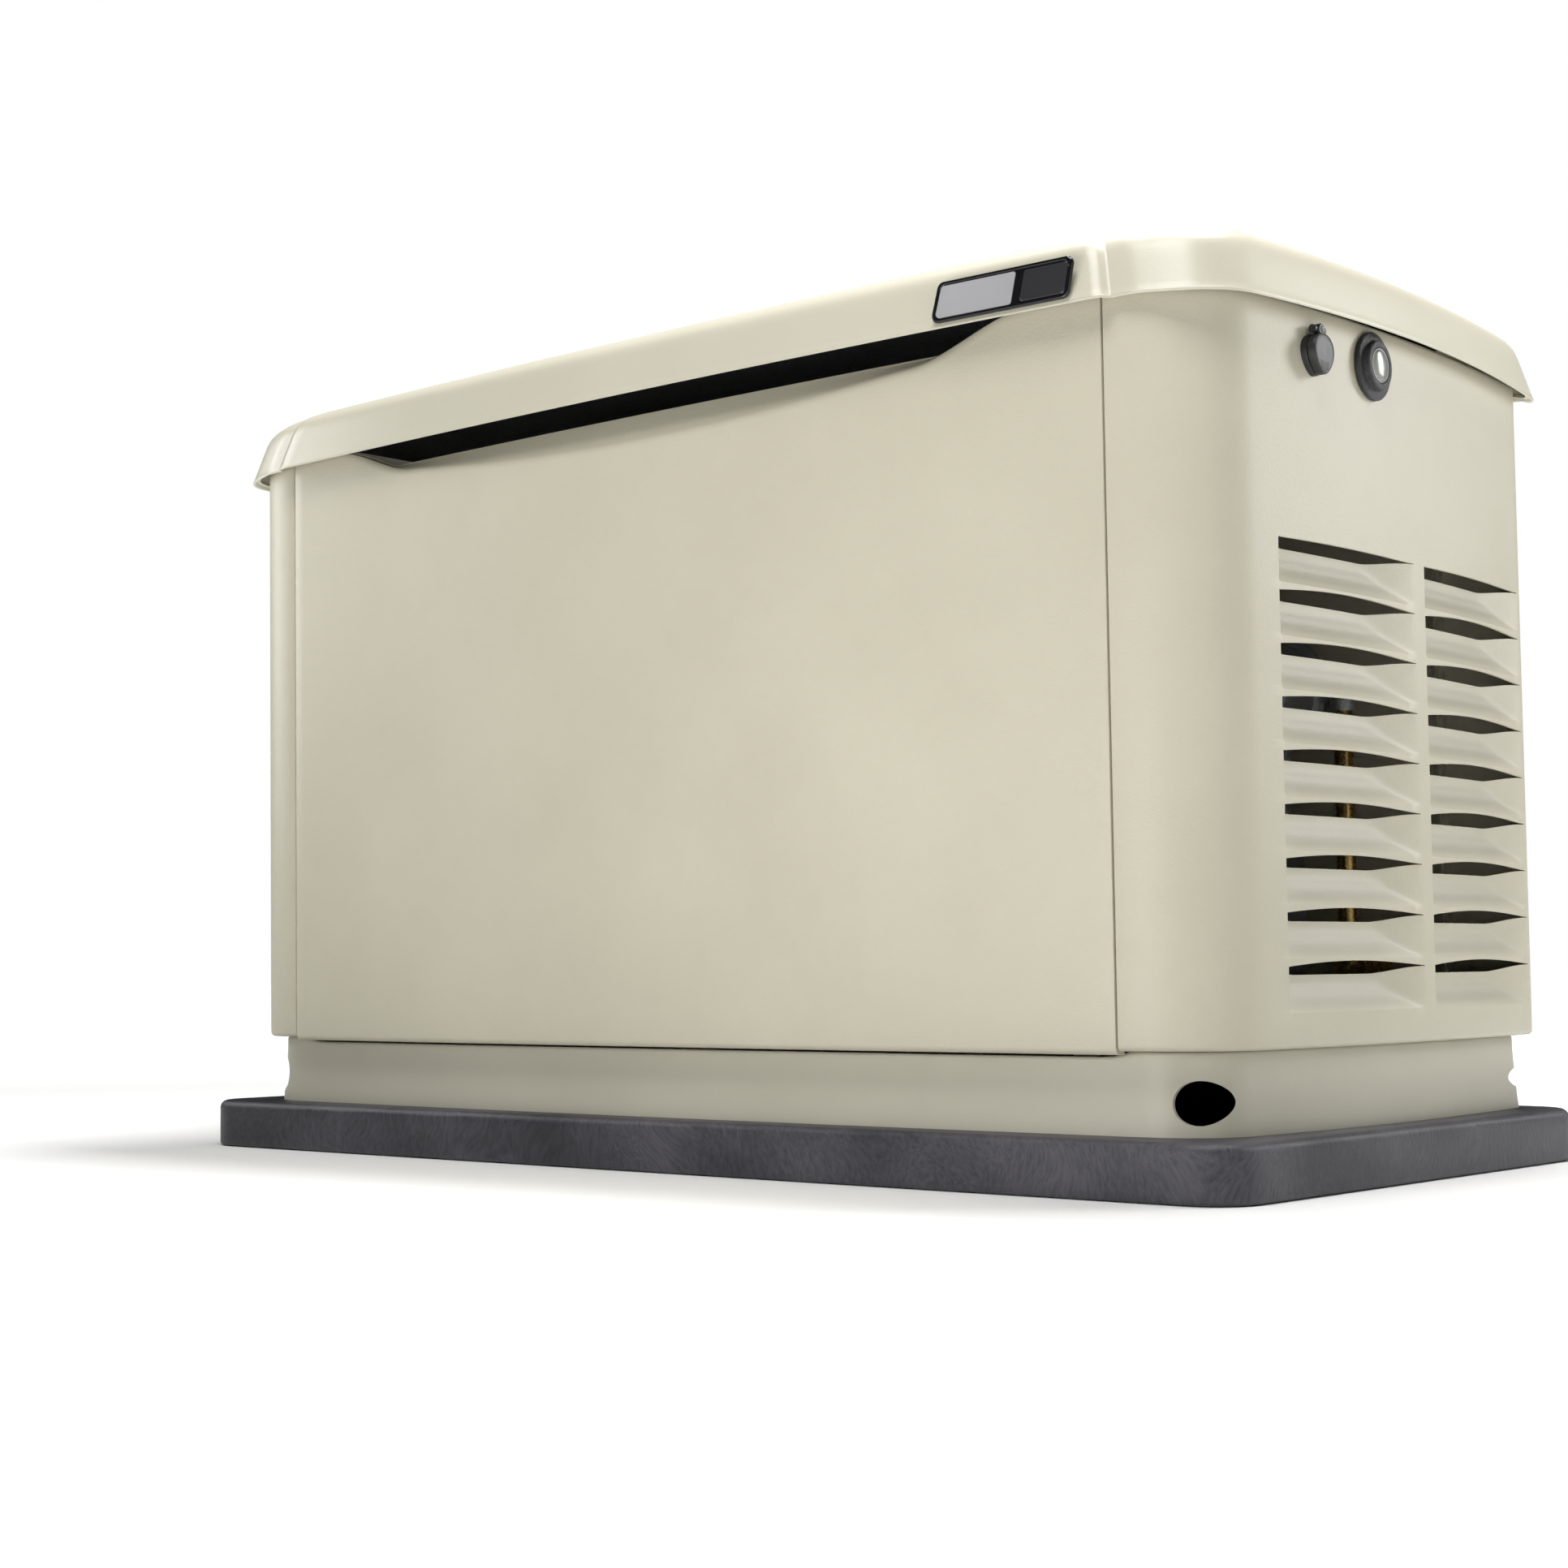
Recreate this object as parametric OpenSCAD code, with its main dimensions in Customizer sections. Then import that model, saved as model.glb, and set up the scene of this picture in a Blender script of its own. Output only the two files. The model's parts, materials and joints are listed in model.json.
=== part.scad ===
// Home standby generator: a weather enclosure on a pad, with a V-twin engine and alternator inside.
// Millimetres. +X is the intake end, -Y is the front panel, +Z is up. Origin: bottom centre of the pad.

/* [Enclosure] */
// Length of the walls, across the crowns of the two end panels
wall_len = 1188; // [990:1:1430]
// Depth of the walls, across the crowns of the front and back panels
wall_dep = 602; // [560:1:760]
// Height of the walls above the pad
wall_h = 669; // [640:1:860]
// How far the front panel bows outward
bow_front = 17.6; // [8:0.1:24]
// How far the end panels bow outward
bow_end = 20; // [8:0.1:26]
// Plan radius of the enclosure's front corners
corner_r = 80; // [50:1:100]
// Plan radius of the enclosure's rear corners
rear_corner_r = 24; // [18:1:60]
// Thickness of the sheet-metal panels
sheet_t = 3; // [2:0.1:4]
// Length of each end panel's return round the corner, measured to the seam
post_len = 101.5; // [90:0.5:140]
// Gap between neighbouring panels
seam_gap = 1.5; // [0.8:0.1:3]
// Width of the panels' inner flanges
flange_w = 20; // [14:1:26]

/* [Pad and base] */
// Height of the composite pad
pad_h = 47; // [40:1:80]
// Plan radius of the pad's corners
pad_corner_r = 45; // [20:1:90]
// Rounding of the pad's top edge
pad_edge_r = 8; // [3:1:12]
// How far the pad stands proud of the end panels
pad_proud_x = 15; // [10:1:40]
// How far the pad stands proud of the front and back panels
pad_proud_y = 18; // [12:1:40]
// How far the base skirt is set in from the panels
skirt_inset = 18; // [12:1:26]
// Thickness of the base skirt
skirt_t = 4; // [3:0.5:6]
// Height of the base skirt above the pad
skirt_h = 67; // [60:1:90]
// Height of the deck above the pad
deck_rise = 56; // [50:1:56]
// Radius of the lifting holes
lift_r = 17.5; // [14:0.5:20]
// Distance from the end of the skirt to a lifting hole
lift_inset = 30; // [26:1:60]

/* [Lid] */
// How far the lid overhangs the end panels
lid_over_x = 15; // [12:1:20]
// How far the lid overhangs the front and back panels
lid_over_y = 18; // [17:1:22]
// Height of the lid, from its lower edge to its crown
lid_h = 72; // [64:1:110]
// Thickness of the lid's shell
lid_t = 3; // [2:0.5:4]
// How far the panels' top edge tucks up behind the lid's lower edge
lid_tuck = 8; // [4:1:14]
// Height of the band along the lid's front edge
lid_band_h = 38; // [20:1:44]
// Thickness of the foam lining under the lid
foam_t = 26; // [10:1:30]
// Distance from the middle to each hinge
hinge_x = 380; // [200:1:420]
// Length of each hinge
hinge_len = 90; // [60:1:120]
// Radius of a hinge knuckle
knuckle_r = 6; // [5:0.5:7]
// Radius of a hinge pin
hinge_pin_r = 2.5; // [2:0.1:3]

/* [Front panel grip] */
// Depth of the scoop in the front panel's top edge, at its middle
scoop_depth = 46; // [30:1:60]
// How much the scoop's floor rises towards its ends
scoop_crown = 15; // [0:1:24]
// Half width of the scoop at its floor
scoop_half_in = 300; // [200:5:330]
// Half width of the scoop at the panel's top edge
scoop_half_out = 425; // [380:5:440]
// How far behind the panel the grip's inner wall stands
grip_depth = 12; // [8:1:16]
// Distance from the middle to each lower hook of the front panel
hook_x = 250; // [150:5:300]
// Width of a lower hook
hook_w = 60; // [30:1:80]

/* [Louvres] */
// Number of louvre rows
louvre_rows = 9; // [4:1:9]
// Height from one louvre row to the next
louvre_pitch = 42.8; // [36:0.1:44]
// Height of the slot in each louvre
louvre_slot_h = 9; // [6:0.5:12]
// Depth of the louvre's inner lip
louvre_depth = 15; // [8:1:18]
// Width of one louvre
louvre_w = 221; // [160:1:224]
// Gap between the two louvre columns
louvre_gap = 20; // [16:1:40]
// Distance of the gap between the columns from the middle of the end panel
louvre_mid_y = 45; // [0:1:46]
// Height of the top louvre above the pad
louvre_top = 474; // [460:1:560]

/* [Lock and status indicator] */
// Distance of the lock from the middle of the end panel, towards the front
lock_y = 130; // [100:1:160]
// Distance of the lock's and the indicator's centre below the panels' top edge
lock_drop = 36; // [34:1:60]
// Side of the lock housing
lock_size = 42; // [36:1:46]
// Depth of the lock housing outside the panel
lock_depth = 9; // [6:0.5:10]
// Radius of the lock barrel
lock_barrel_r = 9; // [7:0.5:10]
// Length of the lock cam from the barrel's axis
cam_len = 34; // [28:1:40]
// Distance of the status indicator from the middle of the end panel, towards the front
indicator_y = 35; // [20:1:60]
// Radius of the indicator's bezel
indicator_r = 29; // [22:0.5:29]
// Radius of the indicator's lens
lens_r = 13.5; // [9:0.5:18]
// How far the indicator stands proud of the panel
indicator_proud = 12; // [8:0.5:13]

/* [Engine and alternator] */
// Height of the crankshaft above the deck
crank_rise = 187; // [184:1:220]
// Radius of the crankshaft and rotor shaft
shaft_r = 17.5; // [14:0.5:22]
// Length of the crankcase
case_len = 200; // [200:1:220]
// Half width of the crankcase
case_half_w = 115; // [110:1:130]
// Radius from the crankshaft to the cylinders' foot
deck_r = 110; // [105:1:125]
// Length of the finned cylinders
cyl_len = 90; // [80:1:100]
// Radius of the cylinders' fins
fin_r = 52; // [44:1:52]
// Length of the cylinder heads
head_len = 50; // [40:1:60]
// Length of the rocker covers
rocker_len = 30; // [24:1:36]
// Distance between the two cylinders' centres along the crankshaft
bank_offset = 50; // [40:1:60]
// Radius of the flywheel fan
fan_r = 130; // [100:1:136]
// Outer radius of the alternator can
can_r = 125; // [110:1:140]
// Thickness of the alternator can
can_t = 7; // [5:0.5:10]
// Length of the alternator can
can_len = 210; // [190:1:230]
// Radius of the rotor
rotor_r = 80; // [66:0.5:90]
// Length of the rotor and stator packs
pack_len = 110; // [80:1:130]
// Height of the rubber mounts
mount_h = 30; // [24:1:40]
// Radius of the rubber mounts
mount_r = 25; // [20:1:30]

/* [Battery] */
// Length of the battery
bat_len = 208; // [170:1:215]
// Width of the battery
bat_wid = 173; // [150:1:180]
// Height of the battery
bat_h = 197; // [160:1:230]
// Distance from the battery to the crown of the end panel
bat_end_gap = 55; // [50:1:80]
// Distance from the battery to the crown of the front panel
bat_front_gap = 61; // [56:1:80]

/* [Controller] */
// Width of the control housing
ctl_w = 240; // [200:1:260]
// Depth of the control housing
ctl_d = 66; // [56:1:80]
// Height of the control housing
ctl_h = 220; // [180:1:230]
// Radius of a mode button
button_r = 8.5; // [6:0.5:12]
// Travel of a mode button
button_travel = 1.5; // [1:0.1:3]

/* [Service connections] */
// Radius of the thread in the fuel inlet
fuel_thread_r = 9.3; // [6:0.1:12]
// Outer radius of the fuel inlet
fuel_body_r = 16; // [14:0.5:18]
// Radius of the hole for the wiring conduit
conduit_r = 17.5; // [11:0.5:22]

/* [Fits] */
// Radial clearance of a shaft that turns in a bore
run_fit = 0.05; // [0.02:0.01:0.1]
// Clearance around pieces that move past each other
move_gap = 0.5; // [0.4:0.1:1]

/* [Hidden] */
$fn = 48;
eps = 0.01;
half_l = wall_len / 2;
half_w = wall_dep / 2;
seam_x = half_l - post_len;

// Heights
deck_z = pad_h + deck_rise;
skirt_top = pad_h + skirt_h;
wall_top = pad_h + wall_h;
front_bottom = skirt_top - sheet_t;
lip_z = wall_top - lid_tuck;
lid_top = lip_z + lid_h;
lock_z = wall_top - lock_drop;
lift_z = pad_h + (deck_rise - sheet_t) / 2;
lift_x = half_l - skirt_inset - lift_inset;

// The walls' plan: a bowed front and ends, a flat back and round corners.
// gx and gy grow it along X and Y.
function bow_radius(half_chord, bow) = (half_chord * half_chord + bow * bow) / (2 * bow);
function bow_sag(d, half_chord, bow) = bow * d * d / (half_chord * half_chord);
function front_y(x) = half_w - bow_sag(x, half_l, bow_front);
function lid_front_y(x) = half_w + lid_over_y - x * x / (2 * front_r);
function end_x(y) = half_l - bow_sag(y, half_w, bow_end);
front_r = bow_radius(half_l, bow_front) + corner_r;
end_r = bow_radius(half_w, bow_end) + corner_r;

// The centre of a corner that touches the front arc, centred at [0, fy],
// and the end arc, centred at [ex, 0]
function corner_centre(fy, ex) =
    let (a = front_r - corner_r,
         b = end_r - corner_r,
         d = norm([ex, fy]),
         along = (a * a - b * b + d * d) / (2 * d),
         aside = sqrt(a * a - along * along),
         u = [ex, -fy] / d)
        [0, fy] + along * u + aside * [-u[1], u[0]];

function arc_points(centre, r, a0, a1, steps) =
    [for (i = [0 : steps]) let (a = a0 + (a1 - a0) * i / steps) centre + r * [cos(a), sin(a)]];

function half_plan(gx, gy, fn) =
    let (fy = front_r - half_w - gy,
         ex = half_l + gx - end_r,
         front = corner_centre(fy, ex),
         rear_y = half_w + gy - rear_corner_r,
         rear = [ex + sqrt(pow(end_r - rear_corner_r, 2) - rear_y * rear_y), rear_y],
         front_a = atan2(front[1] - fy, front[0]),
         end_a0 = atan2(front[1], front[0] - ex),
         end_a1 = atan2(rear[1], rear[0] - ex))
        concat(
            arc_points([0, fy], front_r, -90, front_a, fn / 2),
            arc_points(front, corner_r, front_a, end_a0, fn / 4),
            arc_points([ex, 0], end_r, end_a0, end_a1, fn / 4),
            arc_points(rear, rear_corner_r, end_a1, 90, fn / 8));

module plan(gx = 0, gy = 0, fn = 64) {
    points = half_plan(gx, gy, fn);
    last = len(points) - 1;
    right = [for (i = [1 : last]) if (norm(points[i] - points[i - 1]) > eps) points[i]];
    left = [for (i = [len(right) - 1 : -1 : 0]) [-right[i][0], right[i][1]]];
    polygon(concat(right, left, [points[0]]));
}

// A ring that follows the walls' plan, from depth a to depth b inside it
module ring(a, b, z0, z1) {
    translate([0, 0, z0])
        linear_extrude(z1 - z0)
            difference() {
                plan(-a, -a);
                plan(-b, -b);
            }
}

// Keeps only the part of its children beyond the seam at the +X end
module right_of_seam() {
    intersection() {
        children();
        translate([seam_x + seam_gap / 2, -wall_dep, 0]) cube([wall_len, 2 * wall_dep, 2 * lid_top]);
    }
}

// Keeps only the part of its children between the seams, on the front side (-1) or the back (1)
module between_seams(side) {
    len = 2 * seam_x - seam_gap;
    intersection() {
        children();
        translate([0, side * (wall_dep + half_w / 2) / 2, lid_top])
            cube([len, wall_dep - half_w / 2, 2 * lid_top], center = true);
    }
}

// A cylinder from a to b along one row axis
module rod_x(x0, x1, y, z, r) translate([x0, y, z]) rotate([0, 90, 0]) cylinder(r = r, h = x1 - x0);
module rod_y(y0, y1, x, z, r) translate([x, y1, z]) rotate([90, 0, 0]) cylinder(r = r, h = y1 - y0);
module rod_z(z0, z1, x, y, r) translate([x, y, z0]) cylinder(r = r, h = z1 - z0);
module block(x0, x1, y0, y1, z0, z1) translate([x0, y0, z0]) cube([x1 - x0, y1 - y0, z1 - z0]);

/* ---- Pad and base ---- */

module mounting_pad() {
    px = half_l + pad_proud_x;
    py = half_w + pad_proud_y;
    color("#2d2c34")
        hull() {
            linear_extrude(pad_h - pad_edge_r)
                offset(r = pad_corner_r, $fn = 32)
                    square([2 * (px - pad_corner_r), 2 * (py - pad_corner_r)], center = true);
            for (s = [0 : 3]) {
                a = 22.5 * (s + 1);
                in = pad_edge_r * (1 - cos(a));
                linear_extrude(pad_h - pad_edge_r + pad_edge_r * sin(a))
                    offset(r = pad_corner_r - in, $fn = 32)
                        square([2 * (px - pad_corner_r), 2 * (py - pad_corner_r)], center = true);
            }
        }
}

module base_tray() {
    color("#c8c4b0")
        difference() {
            union() {
                ring(skirt_inset, skirt_inset + skirt_t, pad_h, skirt_top);
                translate([0, 0, deck_z - sheet_t])
                    linear_extrude(sheet_t)
                        plan(-skirt_inset - skirt_t / 2, -skirt_inset - skirt_t / 2);
            }
            for (s = [-1, 1])
                rod_y(-wall_dep, wall_dep, s * lift_x, lift_z, lift_r);
        }
}

/* ---- Panels ---- */

module louvre_slots() {
    for (row = [0 : louvre_rows - 1], side = [-1, 1]) {
        y0 = louvre_mid_y + side * (louvre_gap + louvre_w) / 2 - louvre_w / 2;
        z0 = pad_h + louvre_top - row * louvre_pitch - louvre_slot_h;
        block(0, wall_len, y0, y0 + louvre_w, z0, z0 + louvre_slot_h);
    }
}

// The inner lip under each louvre's slot
module louvre_lips() {
    for (row = [0 : louvre_rows - 1], side = [-1, 1]) {
        y0 = louvre_mid_y + side * (louvre_gap + louvre_w) / 2 - louvre_w / 2;
        z0 = pad_h + louvre_top - row * louvre_pitch - louvre_slot_h - sheet_t;
        intersection() {
            ring(sheet_t / 2, louvre_depth, z0, z0 + sheet_t);
            block(0, wall_len, y0, y0 + louvre_w, z0 - 1, z0 + 2 * sheet_t);
        }
    }
}

module end_panel(with_indicator) {
    difference() {
        union() {
            right_of_seam() {
                union() {
                    ring(0, sheet_t, skirt_top, wall_top);
                    ring(sheet_t / 2, flange_w, wall_top - sheet_t, wall_top);
                    ring(sheet_t / 2, skirt_inset + skirt_t + 2, skirt_top, skirt_top + sheet_t);
                }
            }
            louvre_lips();
        }
        louvre_slots();
        rod_x(half_l / 2, wall_len, -lock_y, lock_z, lock_barrel_r + lock_wall + move_gap);
        if (with_indicator)
            rod_x(half_l / 2, wall_len, -indicator_y, lock_z, lens_r + lock_wall + move_gap);
        screw_places() rod_z(-screw_len, screw_len, 0, 0, screw_r + move_gap);
    }
}

module right_end_panel() color("#d6d2c2") end_panel(true);
module left_end_panel() color("#d6d2c2") mirror([1, 0, 0]) end_panel(false);

// A flat place on the back panel for the fuel and wiring connections
service_x0 = 0.35 * seam_x;
service_x1 = 0.95 * seam_x;
service_z0 = skirt_top + 20;
service_h = 90;
service_in = half_w - sheet_t - 2;
service_out = half_w + 3;
service_z = service_z0 + service_h / 2;
conduit_x = service_x0 + 45;
fuel_x = service_x1 - 45;

module back_panel() {
    color("#d6d2c2")
        difference() {
            union() {
                between_seams(1)
                    union() {
                        ring(0, sheet_t, skirt_top, wall_top);
                        ring(sheet_t / 2, flange_w, wall_top - sheet_t, wall_top);
                        ring(sheet_t / 2, skirt_inset + skirt_t + 2, skirt_top, skirt_top + sheet_t);
                    }
                block(service_x0, service_x1, service_in, service_out,
                    service_z0, service_z0 + service_h);
            }
            rod_y(0, wall_dep, conduit_x, service_z, conduit_r);
            rod_y(0, wall_dep, fuel_x, service_z, fuel_body_r + move_gap);
        }
}

// The scoop's outline, seen from the front: a shallow floor with S-shaped ends
scoop_steps = 24;
function scoop_floor(x) = scoop_crown * pow(x / scoop_half_in, 2);
function scoop_blend(x) =
    let (t = max(0, (x - scoop_half_in) / (scoop_half_out - scoop_half_in))) (1 - cos(180 * t)) / 2;
function scoop_z(x) =
    let (b = scoop_blend(x), low = wall_top - scoop_depth + scoop_floor(min(x, scoop_half_in)))
        low + b * (wall_top - low);
scoop_side = [for (i = [0 : scoop_steps])
    let (x = scoop_half_out * i / scoop_steps) [x, scoop_z(x)]];

module scoop_outline() {
    polygon(concat(
        [for (p = scoop_side) p],
        [[scoop_half_out, wall_top + 5], [-scoop_half_out, wall_top + 5]],
        [for (i = [scoop_steps : -1 : 1]) [-scoop_side[i][0], scoop_side[i][1]]]));
}

// How far the grip's floor lies below the scoop, and its wall's top below the panels' top edge
grip_floor_drop = 12;
grip_wall_drop = 22;
grip_floor = wall_top - scoop_depth - grip_floor_drop;

// The wall and floor behind the scoop, which close it off from the inside
module grip() {
    intersection() {
        union() {
            ring(sheet_t / 2, grip_depth + sheet_t, grip_floor, grip_floor + sheet_t);
            ring(grip_depth, grip_depth + sheet_t, grip_floor, wall_top - grip_wall_drop);
        }
        block(-scoop_half_out, scoop_half_out, -wall_dep, -half_w / 2, grip_floor, wall_top);
    }
}

// A hook that reaches over the skirt's top edge and down behind it
hook_play = 1;
hook_t = 3;
hook_drop = 8;

module lower_hook(x) {
    hook_in = skirt_inset + skirt_t + hook_play;
    intersection() {
        union() {
            ring(sheet_t / 2, hook_in + hook_t, skirt_top, skirt_top + sheet_t);
            ring(hook_in, hook_in + hook_t, skirt_top - hook_drop, skirt_top + sheet_t);
        }
        block(x - hook_w / 2, x + hook_w / 2, -wall_dep, -half_w / 2, pad_h, wall_top);
    }
}

module front_panel() {
    color("#d6d2c2") {
        between_seams(-1)
            difference() {
                union() {
                    ring(0, sheet_t, front_bottom, wall_top);
                    ring(sheet_t / 2, skirt_inset - sheet_t, front_bottom, front_bottom + sheet_t);
                }
                rotate([90, 0, 0]) linear_extrude(wall_dep) scoop_outline();
            }
        grip();
        for (s = [-1, 1])
            lower_hook(s * hook_x);
    }
}

/* ---- Lid ---- */

// Stations of the lid's profile: share of its height, and inset from its outline
lid_stations = [[0, 0], [0.54, 2], [0.67, 8], [0.76, 19], [0.9, 60], [0.96, 110], [1, 190]];

module lid_core(wall = 0, from = lip_z) {
    hull()
        for (s = lid_stations) {
            gx = lid_over_x - wall - s[1];
            gy = lid_over_y - wall - s[1];
            z = max(from, lip_z - wall + s[0] * (lid_h - eps));
            translate([0, 0, z]) linear_extrude(eps) plan(gx, gy, fn = 32);
        }
}

module lid_shell() {
    difference() {
        lid_core();
        translate([0, 0, -1]) lid_core(wall = lid_t, from = lip_z - 2);
    }
}

// The stretch of the lid's front wall over the grip
module band_space() {
    block(-scoop_half_out, scoop_half_out, -wall_dep, -half_w, lip_z - lid_tuck, lip_z + lid_band_h);
}

module lid() {
    color("#dedac9")
        difference() {
            lid_shell();
            band_space();
        }
}

module lid_front_band() {
    color("#dedac9")
        intersection() {
            lid_shell();
            band_space();
        }
}

foam_x = half_l - 60;
foam_y = half_w - 60;

module lid_foam() {
    color("#3a3a3a")
        intersection() {
            translate([0, 0, -1 - eps]) lid_core(wall = lid_t + eps, from = lip_z - 2);
            block(-foam_x, foam_x, -foam_y, foam_y, lid_top - lid_t - foam_t, lid_top);
        }
}

// The lid turns about this line, just outside the back panel
leaf_t = 2;
leaf_h = 25;
leaf_play = 0.55;
knuckle_len = hinge_len / 3;
leaf_lean = lid_stations[1][1] * leaf_h / (lid_stations[1][0] * lid_h);
hinge_y = half_w + lid_over_y - lid_t - knuckle_r / 2 - leaf_play;
leaf_out = hinge_y + knuckle_r / 2 - leaf_lean;
hinge_z = lip_z - 11;

module at_hinges() for (s = [-1, 1]) translate([s * hinge_x, 0, 0]) children();

module hinge_fixed_leaves() {
    leaf_y0 = half_w + move_gap / 5;
    color("#8a8a88")
        at_hinges() {
            for (s = [-1, 1]) {
                x0 = s < 0 ? -hinge_len / 2 : knuckle_len / 2 + move_gap;
                x1 = s < 0 ? -knuckle_len / 2 - move_gap : hinge_len / 2;
                difference() {
                    union() {
                        rod_x(x0, x1, hinge_y, hinge_z, knuckle_r);
                        block(x0, x1, leaf_y0, hinge_y,
                            hinge_z - knuckle_r, hinge_z - knuckle_r + leaf_t);
                        block(x0, x1, leaf_y0, leaf_y0 + leaf_t,
                            hinge_z - 40, hinge_z - knuckle_r + leaf_t);
                    }
                    rod_x(-hinge_len, hinge_len, hinge_y, hinge_z, hinge_pin_r);
                }
            }
            block(-hinge_len / 2, hinge_len / 2, leaf_y0, leaf_y0 + leaf_t, hinge_z - 40, hinge_z - 14);
        }
}

module hinge_moving_leaves() {
    color("#8a8a88")
        at_hinges()
            difference() {
                union() {
                    rod_x(-knuckle_len / 2, knuckle_len / 2, hinge_y, hinge_z, knuckle_r);
                    block(-knuckle_len / 2, knuckle_len / 2, leaf_out - leaf_t, leaf_out,
                        hinge_z, lip_z + leaf_h);
                }
                rod_x(-hinge_len, hinge_len, hinge_y, hinge_z, hinge_pin_r + run_fit);
            }
}

module hinge_pins() {
    color("#9a9a98")
        at_hinges()
            rod_x(-hinge_len / 2 - 2, hinge_len / 2 + 2, hinge_y, hinge_z, hinge_pin_r);
}

/* ---- Locks, indicator and badge ---- */

lock_wall = 3;
lock_face_x = end_x(lock_y);
lock_pivot_x = lock_face_x + lock_depth;
lock_pivot_z = lock_z + lock_size / 2 - 5;
cam_x = lock_face_x - 34;
cam_t = 3;
cover_t = 6;
lock_pin_r = 1.5;
lock_seat_x = end_x(lock_y - lock_size / 2) + 0.1;

module lock_housing() {
    color("#1e1e20")
        difference() {
            union() {
                block(lock_seat_x, lock_face_x + lock_depth - 4, -lock_y - lock_size / 2,
                    -lock_y + lock_size / 2, lock_z - lock_size / 2, lock_z + lock_size / 2 - 10);
                block(lock_seat_x, lock_face_x + lock_depth - 4, -lock_y - lock_size / 4,
                    -lock_y + lock_size / 4, lock_z, lock_z + lock_size / 2);
                rod_y(-lock_y - lock_size / 4, -lock_y + lock_size / 4, lock_pivot_x, lock_pivot_z, 4);
                block(lock_seat_x, lock_pivot_x, -lock_y - lock_size / 4, -lock_y + lock_size / 4,
                    lock_pivot_z - 3, lock_pivot_z + 3);
                rod_x(cam_x + cam_t + 1, lock_face_x + 2, -lock_y, lock_z, lock_barrel_r + lock_wall);
                rod_y(-lock_y - lock_size / 2, -lock_y + lock_size / 2,
                    lock_pivot_x, lock_pivot_z, lock_pin_r);
            }
            rod_x(cam_x - 1, lock_face_x + lock_depth + 5, -lock_y, lock_z, lock_barrel_r + run_fit);
        }
}

// The flip cover over the keyhole. Its two ears turn on the housing's round top bar.
module lock_cover() {
    color("#1e1e20")
        difference() {
            union() {
                for (s = [-1, 1]) {
                    y0 = s < 0 ? -lock_y - lock_size / 2 : -lock_y + lock_size / 4 + move_gap;
                    rod_y(y0, y0 + lock_size / 4 - move_gap, lock_pivot_x, lock_pivot_z, 4);
                    block(lock_pivot_x - 2, lock_pivot_x + 4, y0, y0 + lock_size / 4 - move_gap,
                        lock_pivot_z - 8, lock_pivot_z);
                }
                block(lock_pivot_x - 2, lock_pivot_x - 2 + cover_t, -lock_y - lock_size / 2,
                    -lock_y + lock_size / 2, lock_z - lock_size / 2, lock_pivot_z - 5);
            }
            rod_y(-lock_y - lock_size, -lock_y + lock_size,
                lock_pivot_x, lock_pivot_z, lock_pin_r + run_fit);
        }
}

module lock_barrel() {
    color("#8f9092")
        difference() {
            union() {
                rod_x(cam_x, lock_face_x + lock_depth - 4, -lock_y, lock_z, lock_barrel_r);
                block(cam_x, cam_x + cam_t, -lock_y - 6, -lock_y + 6, lock_z, lock_z + cam_len);
            }
            block(lock_face_x + lock_depth - 8, lock_face_x + lock_depth, -lock_y - 1, -lock_y + 1,
                lock_z - 4, lock_z + 4);
        }
}

module lock_housings() {
    lock_housing();
    mirror([1, 0, 0]) lock_housing();
}

module right_lock_cover() lock_cover();
module right_lock_barrel() lock_barrel();
module left_lock_cover() mirror([1, 0, 0]) lock_cover();
module left_lock_barrel() mirror([1, 0, 0]) lock_barrel();

// Hooks under the lid that the turned cams hold down
keeper_y = -lock_y - cam_len + 3;
keeper_x = cam_x - 14;
keeper_t = 3;
keeper_w = 16;
keeper_drop = 12;
module keeper_hook() {
    block(keeper_x, keeper_x + keeper_t, keeper_y - keeper_w, keeper_y, lock_z - keeper_drop, lid_top);
    block(keeper_x, cam_x + 2 * keeper_t, keeper_y - keeper_w, keeper_y, lock_z - keeper_drop,
        lock_z - keeper_drop + keeper_t);
}

module lid_keepers() {
    color("#8f9092")
        for (s = [-1, 1])
            mirror([s < 0 ? 1 : 0, 0, 0]) {
                intersection() {
                    keeper_hook();
                    block(0, wall_len, -wall_dep, 0, 0, lip_z);
                }
                intersection() {
                    keeper_hook();
                    translate([0, 0, -1 - eps]) lid_core(wall = lid_t + eps, from = lip_z - 2);
                }
            }
}

module indicator_bezel() {
    face = end_x(indicator_y);
    color("#1c1c1e")
        difference() {
            union() {
                rod_x(face + 1, face + 0.5 * indicator_proud, -indicator_y, lock_z, indicator_r);
                rod_x(face + 1, face + indicator_proud - 2, -indicator_y, lock_z, 0.72 * indicator_r);
                rod_x(face - 12, face + 2, -indicator_y, lock_z, lens_r + lock_wall);
            }
            rod_x(face - 20, face + 30, -indicator_y, lock_z, lens_r);
        }
}

module indicator_lens() {
    face = end_x(indicator_y);
    color("#b9bcae") rod_x(face - 10, face + indicator_proud, -indicator_y, lock_z, lens_r);
}

// The badge lies on the lid's front face, near the intake end, turned to follow its bow and lean
badge_x = 412;
badge_w = 136;
badge_h = 34;
badge_low = 4;
badge_t = 3;
badge_rim = 4;
badge_turn = asin(badge_x / bow_radius(half_l, bow_front));
badge_lean = atan(lid_stations[1][1] / (lid_stations[1][0] * lid_h));

module at_badge() {
    translate([badge_x, -lid_front_y(badge_x) - 0.4, lip_z + badge_low])
        rotate([90 - badge_lean, 0, badge_turn]) children();
}

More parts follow.
